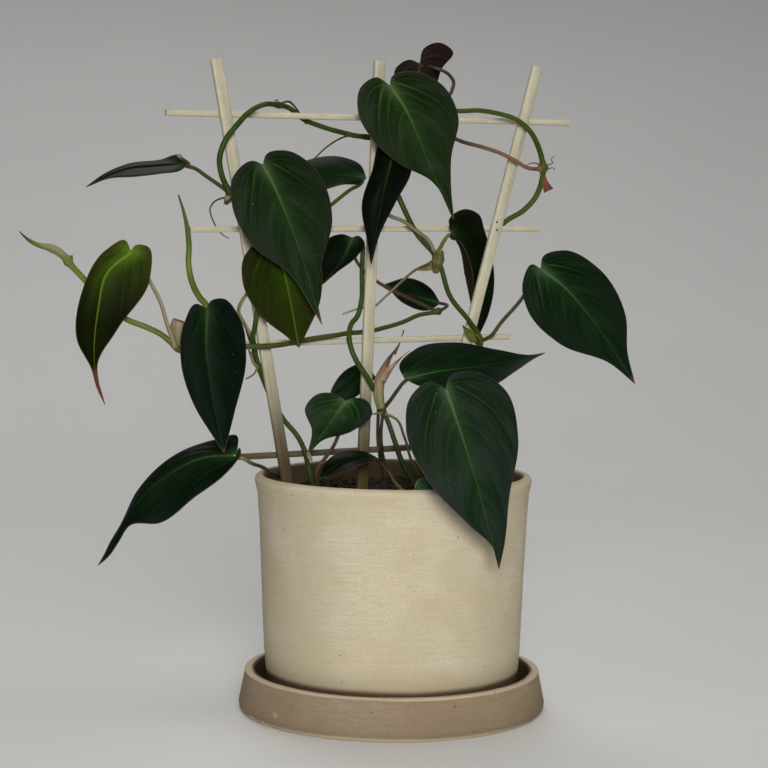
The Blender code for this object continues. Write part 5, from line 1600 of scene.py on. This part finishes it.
def random_of(tree, kind, low, high, seed):
    """A random number for each point or, with the kind FLOAT_VECTOR, three of them."""
    first = 2 if kind == "FLOAT" else 0
    inputs = {first: low, first + 1: high, 8: seed}
    return node(tree, "FunctionNodeRandomValue", inputs, first // 2, data_type=kind)


def make_crumbs():
    """Geometry nodes that strew small lumps over the upward faces of a surface."""
    inputs = {"Geometry": "Geometry", "Per Square Metre": "Float", "Smallest": "Float", "Largest": "Float",
              "Flatness": "Float", "Seed": "Int", "Finish": "Material"}
    tree, given, made = group("crumbs", "GeometryNodeTree", inputs, {"Geometry": "Geometry"})
    geometry, per_square_metre, smallest, largest, flatness, seed, finish = given
    facing = parts(node(tree, "GeometryNodeInputNormal", {}))[2]
    height = parts(node(tree, "GeometryNodeInputPosition", {}))[2]
    up = calc("GREATER_THAN", facing, 0.3) * calc("GREATER_THAN", height, SOIL_TOP - 0.006)
    points = node(tree, "GeometryNodeDistributePointsOnFaces", {
        "Mesh": geometry, "Selection": up, "Density": per_square_metre, "Seed": seed})
    lump = node(tree, "GeometryNodeMeshIcoSphere", {"Radius": 1.0, "Subdivisions": 2})
    rough = node(tree, "ShaderNodeTexNoise", {"Scale": 0.9, "Detail": 1.0}, "Color")
    push = vector("SCALE", vector("SUBTRACT", rough, (0.5, 0.5, 0.5)), scale=1.6)
    lump = node(tree, "GeometryNodeSetPosition", {"Geometry": lump, "Offset": push})
    size = random_of(tree, "FLOAT", smallest, largest, seed)
    shape = random_of(tree, "FLOAT_VECTOR", (0.6, 0.6, 0.25), joined(1.3, 0.9, flatness), seed)
    turn = random_of(tree, "FLOAT_VECTOR", (-0.7, -0.7, 0.0), (0.7, 0.7, 2 * math.pi), seed)
    strewn = node(tree, "GeometryNodeInstanceOnPoints", {
        "Points": points, "Instance": lump, "Rotation": turn, "Scale": vector("SCALE", shape, scale=size)})
    put(made[0], closing_nodes(strewn, finish))
    return tree


def strew(soil, name, crumbs, **values):
    obj = add_object(name, soil.data.copy())
    run_nodes(obj, crumbs, **values)
    obj.data.shade_smooth()
    dress(obj, "potting_soil")


def make_soil_finish(name, dark, light, patch_scale):
    paint = Paint(name, 0.92, 0.2)
    patches, grain = paint.mottle(patch_scale, patch_scale * 9.0)
    paint.start(patches, dark, light)
    paint.lay(grain * 0.35, light)
    return paint.finish(Normal=bump(grain, 0.6, 0.0004))


# Surroundings


def build_floor():
    """A round pale floor that sweeps up to a backdrop on every side."""
    middle = (FLOOR_RADIUS, FLOOR_SWEEP)
    edge = FLOOR_RADIUS + FLOOR_SWEEP
    profile = [
        (0.0, 0.0),
        *wall((0.3, 0.0), (FLOOR_RADIUS, 0.0), 8),
        *arc(middle, FLOOR_SWEEP, -90, 0, 40),
        (edge, FLOOR_TOP),
        (edge + FLOOR_THICKNESS, FLOOR_TOP),
        *reversed(arc(middle, FLOOR_SWEEP + FLOOR_THICKNESS, -90, 0, 40)),
        (0.0, -FLOOR_THICKNESS),
    ]
    paint = Paint("studio_floor", 0.9, 0.1)
    paint.start(paint.mottle(2.0, 60.0)[0], *FLOOR_COLOURS)
    add_object("floor", turned("floor", profile), [paint.finish()])


def light_studio():
    for name, light in LIGHTS.items():
        lamp = bpy.data.lights.new(name, "AREA")
        lamp.shape = "DISK"
        lamp.spread = math.radians(light["spread"])
        lamp.size = light["size"]
        lamp.energy = light["power"]
        lamp.color = light["colour"]
        obj = add_object(name, lamp)
        obj.location = light["place"]
        aim = Vector(LIT_MIDDLE) - Vector(light["place"])
        obj.rotation_euler = aim.to_track_quat("-Z", "Y").to_euler()
    world = bpy.data.worlds.new("studio_air")
    world.use_nodes = True
    air = world.node_tree.nodes["Background"].inputs
    air["Color"].default_value = (*AIR_COLOUR, 1.0)
    air["Strength"].default_value = AIR_LIGHT
    bpy.context.scene.world = world
    bpy.context.scene.view_settings.view_transform = "Standard"


def place_camera():
    """A camera at the photograph's own viewpoint."""
    data = bpy.data.cameras.new("camera")
    data.sensor_width = SENSOR_WIDTH
    data.lens = LENS / PICTURE_SIDE * SENSOR_WIDTH
    data.clip_start = 0.05
    data.clip_end = 30.0
    camera = add_object("camera", data)
    right, ahead, up = (VIEW @ Vector(axis) for axis in ((1, 0, 0), (0, 1, 0), (0, 0, 1)))
    turn = Matrix((right, up, -ahead)).transposed().to_4x4()
    turn.translation = Vector(EYE)
    camera.matrix_world = turn
    bpy.context.scene.camera = camera


def build_plant():
    finishes = {name: make_velvet(name, **colours) for name, colours in VELVETS.items()}
    underside = make_underside()
    for name, leaf in LEAVES.items():
        build_leaf(name, leaf, finishes, underside)
    stem_skin = make_stem_finish("stem_skin", 0.42, 0.09, 1.6, 0.10)
    for name, runs in STEMS.items():
        build_stem(name, runs, stem_skin)
    sheath_skin = make_stem_finish("sheath_skin", 0.6, 0.15, 2.2, 0.15)
    for name, sheath in SHEATHS.items():
        build_sheath(name, sheath, sheath_skin)


def main():
    build_plant()
    build_trellis(make_wood_finish())
    build_pins(make_pin_finish())
    thrown = make_thrown()
    build_pot(thrown, make_clay_finish("pale_clay", **POT_CLAY))
    build_saucer(thrown, make_clay_finish("tanned_clay", **SAUCER_CLAY))
    earths = {name: make_soil_finish(name, **look) for name, look in EARTHS.items()}
    soil = build_soil(earths["peat"])
    crumbs = make_crumbs()
    for name, look in CRUMBS.items():
        strew(soil, name, crumbs, **look, Finish=earths[name.removesuffix("s")])
    build_floor()
    light_studio()
    place_camera()


main()
